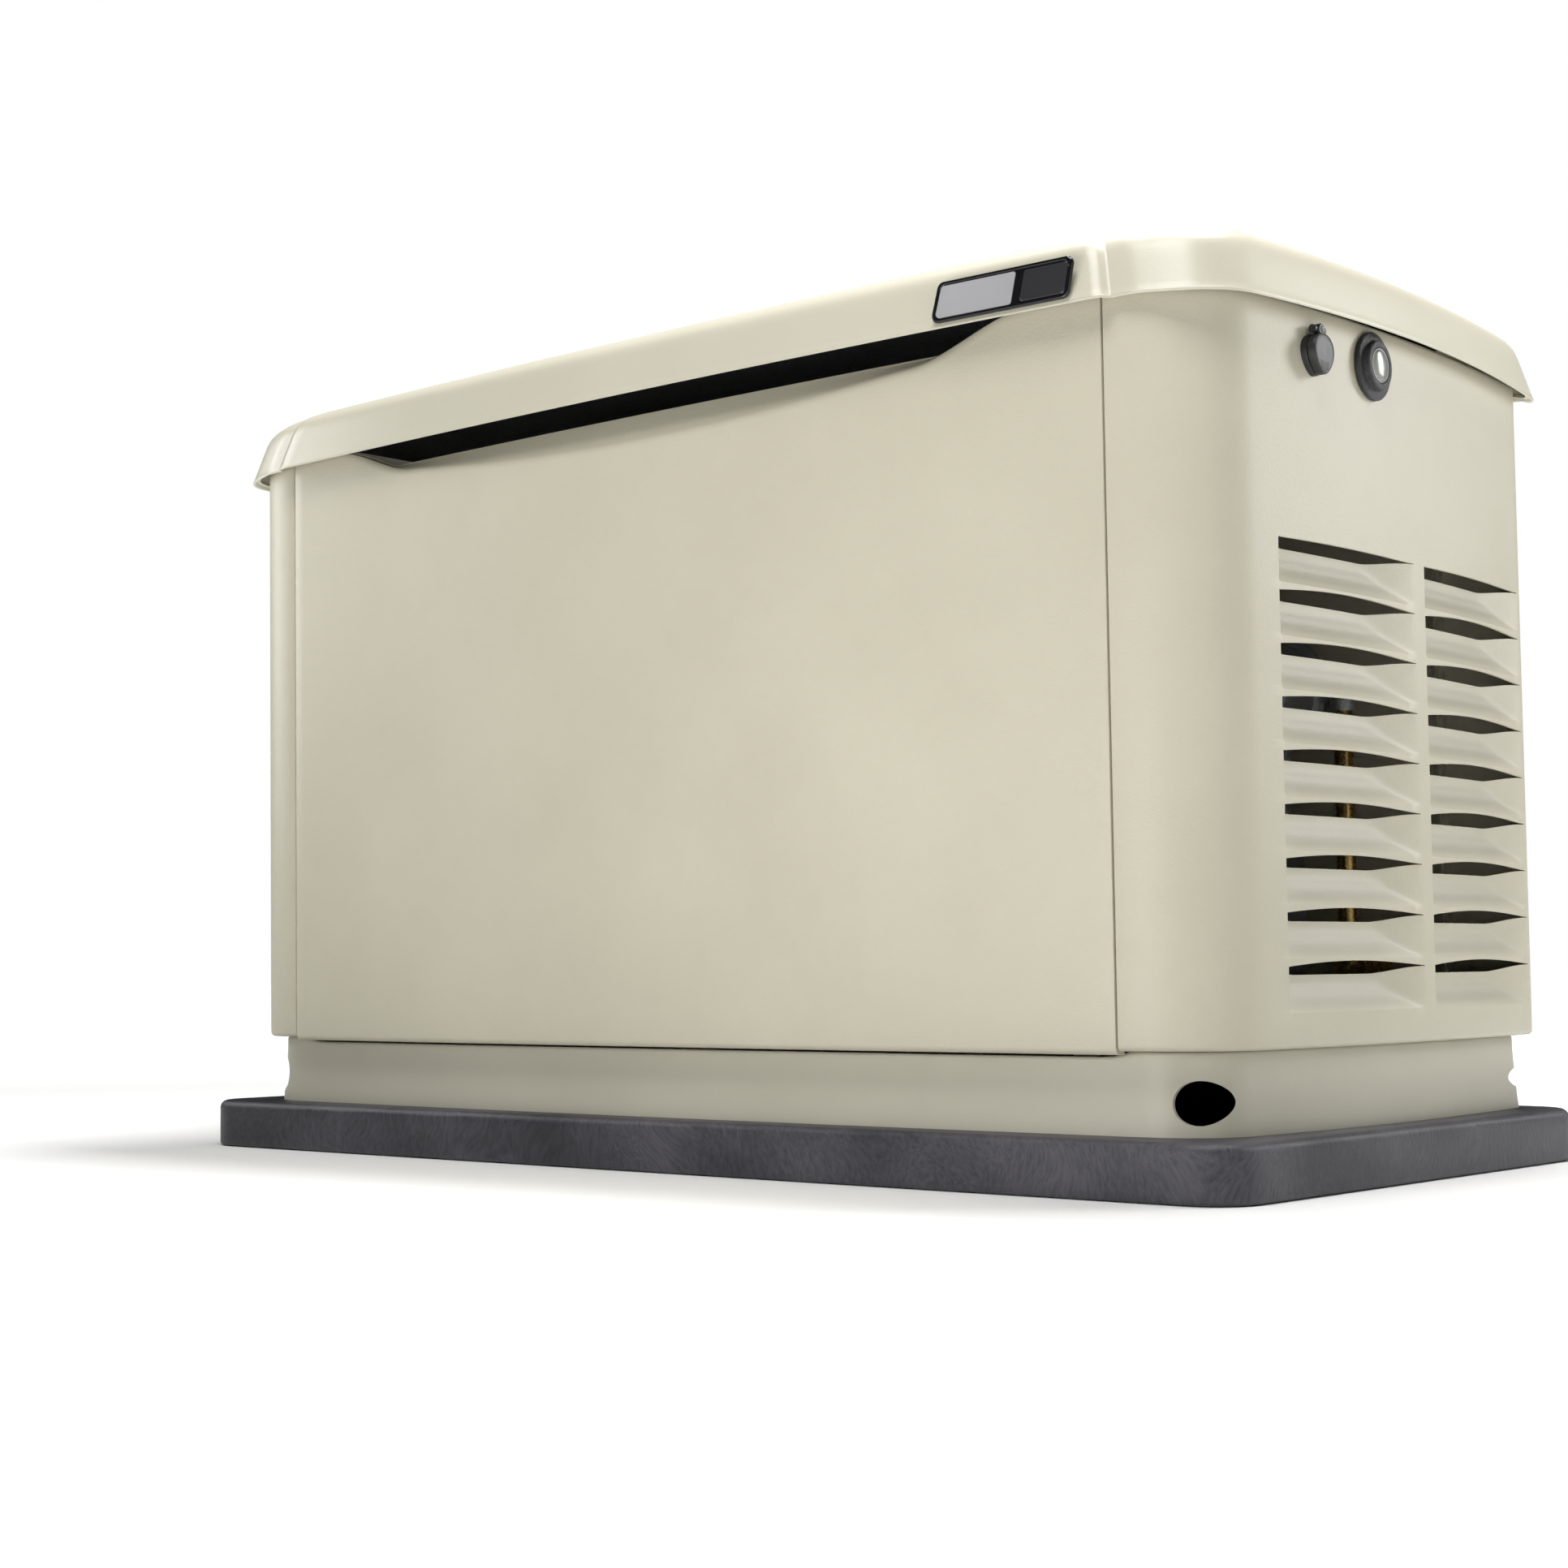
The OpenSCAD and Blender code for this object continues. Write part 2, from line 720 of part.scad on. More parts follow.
module badge_shape(inset) {
    r = 5;
    offset(r = r, $fn = 24)
        translate([-badge_w / 2 + inset + r, inset + r])
            square([badge_w - 2 * (inset + r), badge_h - 2 * (inset + r)]);
}

module badge_frame() {
    color("#101012")
        at_badge()
            difference() {
                linear_extrude(badge_t) badge_shape(0);
                translate([0, 0, badge_t / 2]) linear_extrude(badge_t) badge_shape(badge_rim);
            }
}

module badge_panes() {
    color("#b8b8b8")
        at_badge()
            translate([0, 0, badge_t / 2])
                linear_extrude(badge_t / 3)
                    badge_shape(badge_rim + move_gap);
}

/* ---- Divider and screws ---- */

divider_x = -330;
pipe_r = 16;
bank_a = 45;

module divider_panel() {
    w = front_y(divider_x) - sheet_t - 6;
    color("#b9b6a6")
        difference() {
            block(divider_x, divider_x + sheet_t, -w + flange_w, w - flange_w,
                deck_z, wall_top - scoop_depth - 20);
            for (s = [-1, 1])
                rod_x(divider_x - 10, divider_x + 10, s * port_out, port_z, pipe_r + 4);
        }
}

screw_r = 3;
screw_head_r = 7;
screw_len = 14;
screw_rows = 3;

// Places its children at the screws in an end panel's return onto the back
module screw_places() {
    x = seam_x + 22;
    for (i = [0 : screw_rows - 1])
        translate([x, half_w, skirt_top + 60 + i * (wall_h - skirt_h - 120) / (screw_rows - 1)])
            rotate([-90, 0, 0]) children();
}

module panel_screws() {
    color("#6f6f6c")
        for (m = [0, 1])
            mirror([m, 0, 0])
                screw_places() {
                    rod_z(-screw_len, 1, 0, 0, screw_r);
                    translate([0, 0, 1]) cylinder(r = screw_head_r, h = 3.5, $fn = 6);
                }
}

/* ---- Engine ---- */

crank_z = deck_z + crank_rise;
case_x1 = 10;
case_x0 = case_x1 - case_len;
case_base_z = deck_z + mount_h;
foot_t = 8;
bank_x1 = case_x0 + 72;
bank_x2 = bank_x1 + bank_offset;
core_r = 0.8 * fin_r;
head_r = deck_r + cyl_len;
cover_r = head_r + head_len;
rocker_top = cover_r + rocker_len;
port_out = (head_r + head_len / 2) * sin(bank_a);
port_z = crank_z + (head_r + head_len / 2) * cos(bank_a);
stick_x = case_x0 + 8;
stick_y = -case_half_w - 9;
stick_tube_top = crank_z + 135;
stick_tube_r = 8;

// Places its children with +Z along a cylinder's axis; s is -1 for the front bank, 1 for the back
module at_bank(s) {
    translate([s < 0 ? bank_x1 : bank_x2, 0, crank_z]) rotate([-s * bank_a, 0, 0]) children();
}

module crankcase() {
    inner_r = 72;
    tube_foot = crank_z - 100;
    color("#5b5d60")
        difference() {
            union() {
                block(case_x0, case_x1, -case_half_w, case_half_w, case_base_z, case_base_z + foot_t);
                block(case_x0, case_x1, -case_half_w + 15, case_half_w - 15, case_base_z, crank_z + 40);
                block(case_x0, case_x1, -case_half_w, case_half_w, case_base_z, crank_z - 40);
                for (s = [-1, 1])
                    at_bank(s)
                        translate([-fin_r, -fin_r, 0]) cube([2 * fin_r, 2 * fin_r, deck_r]);
                rod_x(case_x0, case_x1, 0, crank_z, 100);
                rod_z(tube_foot, stick_tube_top, stick_x, stick_y, stick_tube_r);
                block(stick_x - stick_tube_r, stick_x + stick_tube_r, stick_y, -case_half_w + 1,
                    tube_foot, tube_foot + 30);
            }
            rod_x(case_x0 + 18, case_x1 - 18, 0, crank_z, inner_r);
            rod_x(case_x0 - 1, case_x1 + 1, 0, crank_z, shaft_r + run_fit);
            rod_z(tube_foot + 8, stick_tube_top + 1, stick_x, stick_y, 6);
        }
}

module cylinders() {
    fins = 7;
    fin_t = 4;
    step = (cyl_len - fin_t) / (fins - 1);
    color("#8d8f91")
        for (s = [-1, 1])
            at_bank(s) {
                translate([0, 0, deck_r]) cylinder(r = core_r, h = cyl_len);
                for (i = [0 : fins - 1])
                    translate([0, 0, deck_r + i * step]) cylinder(r = fin_r, h = fin_t);
            }
}

module cylinder_heads() {
    fins = 4;
    fin_t = 5;
    step = (head_len - fin_t) / (fins - 1);
    color("#9a9c9d")
        for (s = [-1, 1])
            at_bank(s)
                translate([0, 0, head_r]) {
                    translate([-core_r, -core_r, 0]) cube([2 * core_r, 2 * core_r, head_len]);
                    for (i = [0 : fins - 1])
                        translate([-fin_r, -fin_r, i * step]) cube([2 * fin_r, 2 * fin_r, fin_t]);
                }
}

module rocker_covers() {
    r = 12;
    color("#2a2b2d")
        for (s = [-1, 1])
            at_bank(s)
                translate([0, 0, cover_r])
                    linear_extrude(rocker_len)
                        offset(r = r, $fn = 32) square(2 * (0.82 * fin_r - r), center = true);
}

module oil_fill_cap() {
    ribs = 8;
    color("#d9b21f")
        at_bank(-1)
            translate([0, 0, rocker_top])
                difference() {
                    cylinder(r = 19, h = 16);
                    for (i = [0 : ribs - 1])
                        rotate([0, 0, i * 360 / ribs])
                            translate([20, 0, 4]) cylinder(r = 3, h = 20);
                }
}

module oil_dipstick() {
    ring_r = 9;
    wire_r = 2;
    color("#d9b21f") {
        rod_z(crank_z - 90, stick_tube_top + 2, stick_x, stick_y, 2.5);
        rod_z(stick_tube_top + move_gap, stick_tube_top + 7, stick_x, stick_y, 8);
        translate([stick_x, stick_y, stick_tube_top + 7 + ring_r])
            rotate([90, 0, 0])
                rotate_extrude() translate([ring_r, 0]) circle(r = wire_r, $fn = 24);
    }
}

module crankshaft() {
    web_t = 14;
    web_r = 62;
    web_top = 32;
    web_places = [26, 76, 110, 160];
    color("#7b7d80") {
        rod_x(case_x0 - 66, case_x1 + can_len + 30, 0, crank_z, shaft_r);
        for (place = web_places) {
            x = case_x0 + place;
            intersection() {
                rod_x(x, x + web_t, 0, crank_z, web_r);
                block(x, x + web_t, -web_r, web_r, crank_z - web_r, crank_z + web_top);
            }
        }
    }
}

fan_x = case_x0 - 58;
fan_disc_t = 12;
fan_blade_h = 26;

module flywheel_fan() {
    blades = 12;
    color("#4a4c4e")
        difference() {
            union() {
                rod_x(fan_x + fan_blade_h, fan_x + fan_blade_h + fan_disc_t, 0, crank_z, fan_r);
                rod_x(fan_x, fan_x + fan_blade_h + 1, 0, crank_z, 34);
                for (i = [0 : blades - 1])
                    translate([fan_x, 0, crank_z])
                        rotate([i * 360 / blades, 0, 0])
                            translate([0, -2, 0.5 * fan_r]) cube([fan_blade_h + 1, 4, 0.47 * fan_r]);
            }
            rod_x(fan_x - 1, fan_x + 100, 0, crank_z, shaft_r);
        }
}

module blower_housing() {
    r_out = fan_r + 20;
    r_in = fan_r + 16;
    x0 = case_x0 - 76;
    color("#242527")
        difference() {
            rod_x(x0, case_x0, 0, crank_z, r_out);
            rod_x(x0 + 4, case_x0 + 1, 0, crank_z, r_in);
            rod_x(x0 - 1, x0 + 10, 0, crank_z, 0.6 * fan_r);
        }
}

module starter_motor() {
    body_r = 38;
    solenoid_r = 20;
    solenoid_rise = 52;
    flange_x = case_x0 + 40;
    y = case_half_w + 42;
    z = crank_z - 75;
    color("#1f2022") {
        rod_x(flange_x, case_x1 - 10, y, z, body_r);
        block(flange_x, flange_x + 12, case_half_w, y, z - 32, z + 34);
        rod_x(flange_x + 20, case_x1 - 50, y, z + solenoid_rise, solenoid_r);
        block(flange_x + 20, flange_x + 36, y - 12, y + 12, z, z + solenoid_rise - 2);
    }
}

module oil_filter() {
    x = case_x1 - 50;
    z = crank_z - 90;
    can_start = -case_half_w - 12;
    can_end = can_start - 70;
    color("#e8e4d8") {
        rod_y(can_end, can_start, x, z, 38);
        rod_y(can_start, -case_half_w, x, z, 30);
        translate([x, can_end, z]) rotate([90, 0, 0]) cylinder(r = 16, h = 6, $fn = 6);
    }
}

/* ---- Air and fuel ---- */

mix_x0 = bank_x1 - 26;
mix_x1 = bank_x2 + 14;
mix_half = 30;
mix_z0 = crank_z + 124;
mix_z1 = crank_z + 168;
cross_z = crank_z + 190;
cross_x = (bank_x1 + bank_x2) / 2;
rocker_high = crank_z + (rocker_top + 0.82 * fin_r) * sin(bank_a);
clean_z = rocker_high + 4;
clean_x0 = cross_x - 95;
clean_x1 = cross_x + 105;
clean_half = 85;
clean_h = 74;

module fuel_mixer() {
    color("#a2a4a6")
        difference() {
            union() {
                block(mix_x0, mix_x1, -mix_half, mix_half, mix_z0, mix_z1);
                rod_y(-port_out, port_out, cross_x, cross_z, 14);
                rod_z(mix_z1 - 2, clean_z, cross_x, 0, 25);
            }
            for (s = [-1, 1])
                translate([0, 0, crank_z])
                    rotate([-s * bank_a, 0, 0])
                        translate([case_x0, -fin_r - eps, 0])
                            cube([case_len, 2 * fin_r + 2 * eps, rocker_top]);
        }
}

knob_x = mix_x0 + 20;
knob_z = mix_z0 + 26;
module fuel_selector_knob() {
    color("#d9722a") {
        rod_y(-mix_half - 8, -mix_half, knob_x, knob_z, 11);
        block(knob_x - 10, knob_x + 10, -mix_half - 15, -mix_half - 7, knob_z - 3, knob_z + 3);
    }
}

module air_cleaner_base() {
    color("#202123")
        block(clean_x0, clean_x1, -clean_half, clean_half, clean_z, clean_z + 12);
}

module air_filter() {
    color("#d8cfae")
        block(clean_x0 + 14, clean_x1 - 14, -clean_half + 14, clean_half - 14,
            clean_z + 12, clean_z + clean_h - 12);
}

module air_cleaner_cover() {
    t = 3;
    color("#1b1c1e")
        difference() {
            translate([(clean_x0 + clean_x1) / 2, 0, clean_z + 12])
                linear_extrude(clean_h - 12)
                    offset(r = 14, $fn = 32)
                        square([clean_x1 - clean_x0 - 28, 2 * clean_half - 28], center = true);
            block(clean_x0 + t + 6, clean_x1 - t - 6, -clean_half + t + 6, clean_half - t - 6,
                clean_z, clean_z + clean_h - t);
        }
}

reg_x = 350;
reg_y0 = 205;
reg_y1 = 262;
reg_z = mix_z0 + 26;
reg_r = 58;
hose_r = 9;
hose_turn_x = reg_x - reg_r - 50;
reg_mid = (reg_y0 + reg_y1) / 2;

module fuel_hose() {
    color("#1d1d1f") {
        rod_x(mix_x1, hose_turn_x, 0, reg_z, hose_r);
        translate([hose_turn_x, 0, reg_z]) sphere(r = hose_r);
        rod_y(0, reg_mid, hose_turn_x, reg_z, hose_r);
        translate([hose_turn_x, reg_mid, reg_z]) sphere(r = hose_r);
        rod_x(hose_turn_x, reg_x - reg_r - 12, reg_mid, reg_z, hose_r);
    }
}

module fuel_regulator() {
    color("#b5b7b9") {
        rod_y(reg_y0 + 14, reg_y1, reg_x, reg_z, reg_r - 6);
        rod_y(reg_y0 + 24, reg_y1 - 20, reg_x, reg_z, reg_r);
        rod_y(reg_y0, reg_y1, reg_x, reg_z, 22);
        rod_x(reg_x - reg_r - 12, reg_x, reg_mid, reg_z, 12);
        rod_x(reg_x, fuel_x, reg_mid, reg_z, 12);
        rod_z(reg_z - 20, reg_z, fuel_x, reg_mid, 12);
        translate([fuel_x, reg_mid, reg_z]) sphere(r = 12);
        block(reg_x - 15, reg_x + 15, reg_mid - 6, reg_mid + 6, deck_z, reg_z);
        block(reg_x - 40, reg_x + 40, reg_mid - 20, reg_mid + 20, deck_z, deck_z + 4);
    }
}

module fuel_inlet() {
    riser_r = 9;
    flange_t = 6;
    out_y = service_out + 2 * flange_t;
    color("#c9a24a")
        difference() {
            union() {
                rod_y(reg_mid, out_y, fuel_x, service_z, fuel_body_r);
                translate([fuel_x, service_out + flange_t, service_z])
                    rotate([90, 0, 0])
                        cylinder(r = fuel_body_r + 4, h = flange_t, $fn = 6);
                rod_z(service_z, reg_z - 20, fuel_x, reg_mid, riser_r);
            }
            rod_y(out_y - 22, out_y + 1, fuel_x, service_z, fuel_thread_r);
        }
}

/* ---- Exhaust ---- */

muffler_x = -462;
muffler_r = 74;
stub_x = -372;

module exhaust_pipes() {
    color("#8b7f76")
        for (s = [-1, 1]) {
            x1 = (s < 0 ? bank_x1 : bank_x2) - fin_r;
            rod_x(stub_x, x1, s * port_out, port_z, pipe_r);
            rod_x(x1 - 8, x1, s * port_out, port_z, pipe_r + 10);
        }
}

module muffler() {
    y = 0.7 * half_w;
    tail_z = port_z - 190;
    color("#6d6a66") {
        rod_y(-y, y, muffler_x, port_z, muffler_r);
        for (s = [-1, 1]) {
            rod_x(muffler_x, stub_x, s * port_out, port_z, pipe_r + 3);
            block(muffler_x - 15, muffler_x + 15, s * 0.45 * y - 10, s * 0.45 * y + 10, deck_z, port_z);
        }
        rod_z(tail_z, port_z, muffler_x, 0, 22);
        translate([muffler_x, 0, tail_z]) sphere(r = 22);
        rod_x(-half_l + flange_w + 6, muffler_x, 0, tail_z, 22);
    }
}

/* ---- Alternator ---- */

can_x1 = case_x1 + can_len;
pack_x = case_x1 + 64;
bearing_r = 31;
bearing_t = 16;

module alternator_can() {
    color("#3f4245")
        difference() {
            union() {
                rod_x(case_x1, can_x1, 0, crank_z, can_r);
                for (s = [-1, 1])
                    block(can_x1 - 90, can_x1 - 50, s * 90 - 20, s * 90 + 20,
                        case_base_z, crank_z - 60);
                block(can_x1 - 90, can_x1 - 50, -110, 110, case_base_z, case_base_z + foot_t);
            }
            rod_x(case_x1 - 1, can_x1 + 1, 0, crank_z, can_r - can_t);
        }
}

module stator() {
    color("#7a4a2a")
        difference() {
            rod_x(pack_x, pack_x + pack_len, 0, crank_z, can_r - can_t);
            rod_x(pack_x - 1, pack_x + pack_len + 1, 0, crank_z, rotor_r + move_gap);
        }
}

module rotor() {
    color("#6b4226")
        difference() {
            union() {
                intersection() {
                    rod_x(pack_x + 4, pack_x + pack_len - 4, 0, crank_z, rotor_r);
                    block(pack_x, pack_x + pack_len, -rotor_r, rotor_r,
                        crank_z - 0.7 * rotor_r, crank_z + 0.7 * rotor_r);
                }
                rod_x(pack_x + pack_len - 5, pack_x + pack_len + 22, 0, crank_z, 30);
            }
            rod_x(pack_x - 1, pack_x + pack_len + 40, 0, crank_z, shaft_r);
        }
}

module bearing_carrier() {
    spokes = 4;
    color("#9c9ea0")
        difference() {
            rod_x(can_x1, can_x1 + bearing_t, 0, crank_z, can_r);
            rod_x(can_x1 - 1, can_x1 + bearing_t + 1, 0, crank_z, bearing_r);
            for (i = [0 : spokes - 1])
                translate([can_x1 - 1, 0, crank_z])
                    rotate([45 + i * 360 / spokes, 0, 0])
                        translate([0, 0, 78]) rotate([0, 90, 0]) cylinder(r = 26, h = bearing_t + 2);
        }
}

module rotor_bearing() {
    color("#c0c2c4")
        difference() {
            rod_x(can_x1, can_x1 + bearing_t, 0, crank_z, bearing_r);
            rod_x(can_x1 - 1, can_x1 + bearing_t + 1, 0, crank_z, shaft_r + run_fit);
        }
}

module rubber_mounts() {
    color("#161617")
        for (x = [case_x0 + 40, can_x1 - 70], s = [-1, 1])
            rod_z(deck_z, deck_z + mount_h, x, s * 88, mount_r);
}

/* ---- Battery ---- */

bat_x = half_l - bat_end_gap - bat_len;
bat_y = -half_w + bat_front_gap;

module battery() {
    color("#232427") {
        block(bat_x, bat_x + bat_len, bat_y, bat_y + bat_wid, deck_z, deck_z + bat_h - 24);
        block(bat_x + 4, bat_x + bat_len - 4, bat_y + 4, bat_y + bat_wid - 4,
            deck_z, deck_z + bat_h - 12);
        for (s = [0, 1])
            rod_z(deck_z + bat_h - 20, deck_z + bat_h,
                bat_x + 28 + s * (bat_len - 56), bat_y + bat_wid - 30, 9);
    }
}

module battery_strap() {
    t = 3;
    x = bat_x + bat_len / 2;
    top = deck_z + bat_h - 12;
    color("#3b3d40") {
        block(x - 12, x + 12, bat_y - t, bat_y + bat_wid + t, top, top + t);
        for (y = [bat_y - t, bat_y + bat_wid])
            block(x - 12, x + 12, y, y + t, deck_z, top + t);
    }
}

/* ---- Controller ---- */

ctl_x = 90;
ctl_y = -half_w + 22;
ctl_z = wall_top - scoop_depth - 16 - ctl_h - 8;
ctl_t = 3;
fascia_t = 3;
button_z = ctl_z + 60;
breaker_x = ctl_x + ctl_w - 50;
breaker_z = ctl_z + 150;
breaker_half_w = 28;
breaker_half_h = 38;
slot_half_w = 20;
slot_half_h = 26;
toggle_y = ctl_y + 16;

module control_housing() {
    color("#9b9c94") {
        difference() {
            block(ctl_x, ctl_x + ctl_w, ctl_y + fascia_t, ctl_y + ctl_d, ctl_z, ctl_z + ctl_h);
            block(ctl_x + ctl_t, ctl_x + ctl_w - ctl_t, ctl_y, ctl_y + ctl_d - ctl_t,
                ctl_z + ctl_t, ctl_z + ctl_h - ctl_t);
        }
        for (x = [ctl_x, ctl_x + ctl_w - 12])
            block(x, x + 12, ctl_y + ctl_d - 12, ctl_y + ctl_d, deck_z, ctl_z + 1);
    }
}

module control_fascia() {
    color("#2b2d30")
        difference() {
            block(ctl_x, ctl_x + ctl_w, ctl_y, ctl_y + fascia_t, ctl_z, ctl_z + ctl_h);
            for (i = [0 : 2])
                rod_y(ctl_y - 1, ctl_y + fascia_t + 1, button_x(i), button_z, button_r + move_gap);
            block(breaker_x - slot_half_w - move_gap, breaker_x + slot_half_w + move_gap,
                ctl_y - 1, ctl_y + fascia_t + 1,
                breaker_z - slot_half_h, breaker_z + slot_half_h);
        }
}

function button_x(i) = ctl_x + 40 + i * 34;

module mode_button(i) {
    rod_y(ctl_y - 4, ctl_y + fascia_t + 4, button_x(i), button_z, button_r);
    rod_y(ctl_y + fascia_t + move_gap, ctl_y + fascia_t + 4, button_x(i), button_z, button_r + 3);
}

module auto_button() color("#3f9a4c") mode_button(0);
module off_button() color("#c4342c") mode_button(1);
module manual_button() color("#3b62a8") mode_button(2);

module breaker() {
    color("#151516")
        difference() {
            block(breaker_x - breaker_half_w, breaker_x + breaker_half_w,
                ctl_y + fascia_t, ctl_y + ctl_d - ctl_t,
                breaker_z - breaker_half_h, breaker_z + breaker_half_h);
            block(breaker_x - slot_half_w - move_gap, breaker_x + slot_half_w + move_gap,
                ctl_y, toggle_y + 12,
                breaker_z - slot_half_h, breaker_z + slot_half_h);
        }
}

module breaker_lever() {
    color("#0e0e0f") {
        rod_x(breaker_x - slot_half_w, breaker_x + slot_half_w, toggle_y, breaker_z, 8);
        translate([0, toggle_y, breaker_z])
            rotate([-30, 0, 0])
                block(breaker_x - 16, breaker_x + 16, -27, 0, -4, 4);
    }
}

mounting_pad();
base_tray();
right_end_panel();
left_end_panel();
back_panel();
front_panel();
lid();
lid_front_band();
lid_foam();
hinge_fixed_leaves();
hinge_moving_leaves();
hinge_pins();
lock_housings();
right_lock_cover();
right_lock_barrel();
left_lock_cover();
left_lock_barrel();
lid_keepers();
indicator_bezel();
indicator_lens();
badge_frame();
badge_panes();
divider_panel();
panel_screws();
crankcase();
cylinders();
cylinder_heads();
rocker_covers();
crankshaft();
flywheel_fan();
blower_housing();
starter_motor();
oil_filter();
oil_dipstick();
oil_fill_cap();
air_cleaner_base();
air_filter();
air_cleaner_cover();
fuel_mixer();
fuel_selector_knob();
fuel_hose();
fuel_regulator();
fuel_inlet();
exhaust_pipes();
muffler();
alternator_can();
stator();
rotor();
bearing_carrier();
rotor_bearing();
rubber_mounts();
battery();
battery_strap();
control_housing();
control_fascia();
auto_button();
off_button();
manual_button();
breaker();
breaker_lever();
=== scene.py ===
"""Looks, lights and camera for a home standby generator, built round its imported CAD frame. Metres."""

import json
import math

import bmesh
import bpy
import numpy as np
from mathutils import Matrix, Vector

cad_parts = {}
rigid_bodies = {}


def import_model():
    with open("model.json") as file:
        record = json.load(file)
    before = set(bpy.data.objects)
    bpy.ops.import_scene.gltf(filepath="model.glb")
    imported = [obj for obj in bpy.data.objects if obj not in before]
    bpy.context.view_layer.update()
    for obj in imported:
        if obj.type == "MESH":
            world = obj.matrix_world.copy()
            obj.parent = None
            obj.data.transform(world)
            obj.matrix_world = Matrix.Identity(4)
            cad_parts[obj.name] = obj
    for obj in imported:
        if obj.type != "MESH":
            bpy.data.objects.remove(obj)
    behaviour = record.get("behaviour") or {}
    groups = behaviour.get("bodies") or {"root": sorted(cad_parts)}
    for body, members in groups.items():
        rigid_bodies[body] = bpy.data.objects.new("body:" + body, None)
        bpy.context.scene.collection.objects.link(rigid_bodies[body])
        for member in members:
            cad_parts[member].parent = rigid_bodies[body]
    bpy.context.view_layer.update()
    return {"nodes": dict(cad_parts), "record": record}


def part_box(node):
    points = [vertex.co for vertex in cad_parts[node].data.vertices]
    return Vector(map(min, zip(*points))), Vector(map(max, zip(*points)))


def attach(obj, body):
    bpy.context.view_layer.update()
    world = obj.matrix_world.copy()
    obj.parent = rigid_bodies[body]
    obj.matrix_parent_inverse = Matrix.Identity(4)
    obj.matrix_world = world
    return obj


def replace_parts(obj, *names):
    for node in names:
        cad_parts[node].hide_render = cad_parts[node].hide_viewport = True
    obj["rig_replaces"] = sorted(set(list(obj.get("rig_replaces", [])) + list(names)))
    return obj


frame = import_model()

MM = 0.001

# ---- Sizes that the frame gives ----
PAD_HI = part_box("mounting_pad")[1]
END_LO, END_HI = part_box("right_end_panel")
FRONT_LO, FRONT_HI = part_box("front_panel")
LID_LO, LID_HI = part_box("lid")
TRAY_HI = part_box("base_tray")[1]
HALF_L = END_HI.x
HALF_W = -FRONT_LO.y
SEAM_X = FRONT_HI.x
WALL_TOP = END_HI.z
SKIRT_TOP = END_LO.z
LIP_Z = LID_LO.z
LID_TOP = LID_HI.z
LID_OVER_X = LID_HI.x - HALF_L
LID_OVER_Y = -LID_LO.y - HALF_W

# ---- Sizes of the pressed sheet metal ----
BOW_FRONT = 17.6 * MM
BOW_END = 20 * MM
CORNER_R = 80 * MM
REAR_R = 24 * MM
SHEET_T = 2.4 * MM
EDGE_R = 4 * MM
SEAM_R = 1.2 * MM
SEAM_GAP = 1.5 * MM
FLANGE = 18 * MM
FOLD = 12 * MM

# ---- Lock and status light ----
LENS_LO, LENS_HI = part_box("indicator_lens")
LOCK_LO, LOCK_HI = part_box("right_lock_barrel")
LOCK_Y = (LOCK_LO.y + LOCK_HI.y) / 2
LENS_Y = (LENS_LO.y + LENS_HI.y) / 2
LOCK_Z = (LENS_LO.z + LENS_HI.z) / 2
COVER_LO, COVER_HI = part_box("right_lock_cover")
LOCK_HOLE_R = 12.6 * MM
LENS_HOLE_R = 17 * MM

# ---- Louvres ----
LOUVRE_ROWS = 9
LOUVRE_PITCH = 42.8 * MM
LOUVRE_TOP = 521 * MM
LOUVRE_W = 221 * MM
LOUVRE_GAP = 20 * MM
LOUVRE_MID_Y = 45 * MM
LOUVRE_DEPTH = 13 * MM
LOUVRE_FALL = 36 * MM
SLIT_UP = 4.5 * MM
SLIT_DOWN = 6 * MM
HALF_SLIT = 0.3 * MM


# ---------------------------------------------------------------- plan of the walls

def bow_radius(half_chord, bow):
    return (half_chord ** 2 + bow ** 2) / (2 * bow)


FRONT_R = bow_radius(HALF_L, BOW_FRONT) + CORNER_R
END_R = bow_radius(HALF_W, BOW_END) + CORNER_R
CORNERS = (1, 3, 6, 8)


def stretches(grow_x=0.0, grow_y=0.0):
    """The five stretches of the right half of the plan, from the front's middle to the back's.

    The last is flat, and comes as its length. A round one is (centre, radius, first angle, last angle),
    with angles measured from -Y towards +X.
    """
    front_y, end_x = FRONT_R - HALF_W - grow_y, HALF_L + grow_x - END_R
    a, b, d = FRONT_R - CORNER_R, END_R - CORNER_R, math.hypot(end_x, front_y)
    along = (a * a - b * b + d * d) / (2 * d)
    aside = math.sqrt(a * a - along * along)
    ux, uy = end_x / d, -front_y / d
    corner = (along * ux - aside * uy, front_y + along * uy + aside * ux)
    rear_y = HALF_W + grow_y - REAR_R
    rear = (end_x + math.sqrt((END_R - REAR_R) ** 2 - rear_y ** 2), rear_y)
    turns = [0, math.atan2(corner[0], front_y - corner[1]), math.atan2(corner[0] - end_x, -corner[1]),
             math.atan2(rear[0] - end_x, -rear[1]), math.pi]
    round_ones = [((0, front_y), FRONT_R), (corner, CORNER_R), ((end_x, 0), END_R), (rear, REAR_R)]
    return [(*piece, t0, t1) for piece, t0, t1 in zip(round_ones, turns, turns[1:])], rear[0]


def knots():
    """Distance round the plan at the start of each stretch, from the middle of the front."""
    arcs, flat = stretches()
    lengths = [radius * (t1 - t0) for _, radius, t0, t1 in arcs] + [flat]
    return np.concatenate([[0], np.cumsum(lengths + lengths[::-1])])


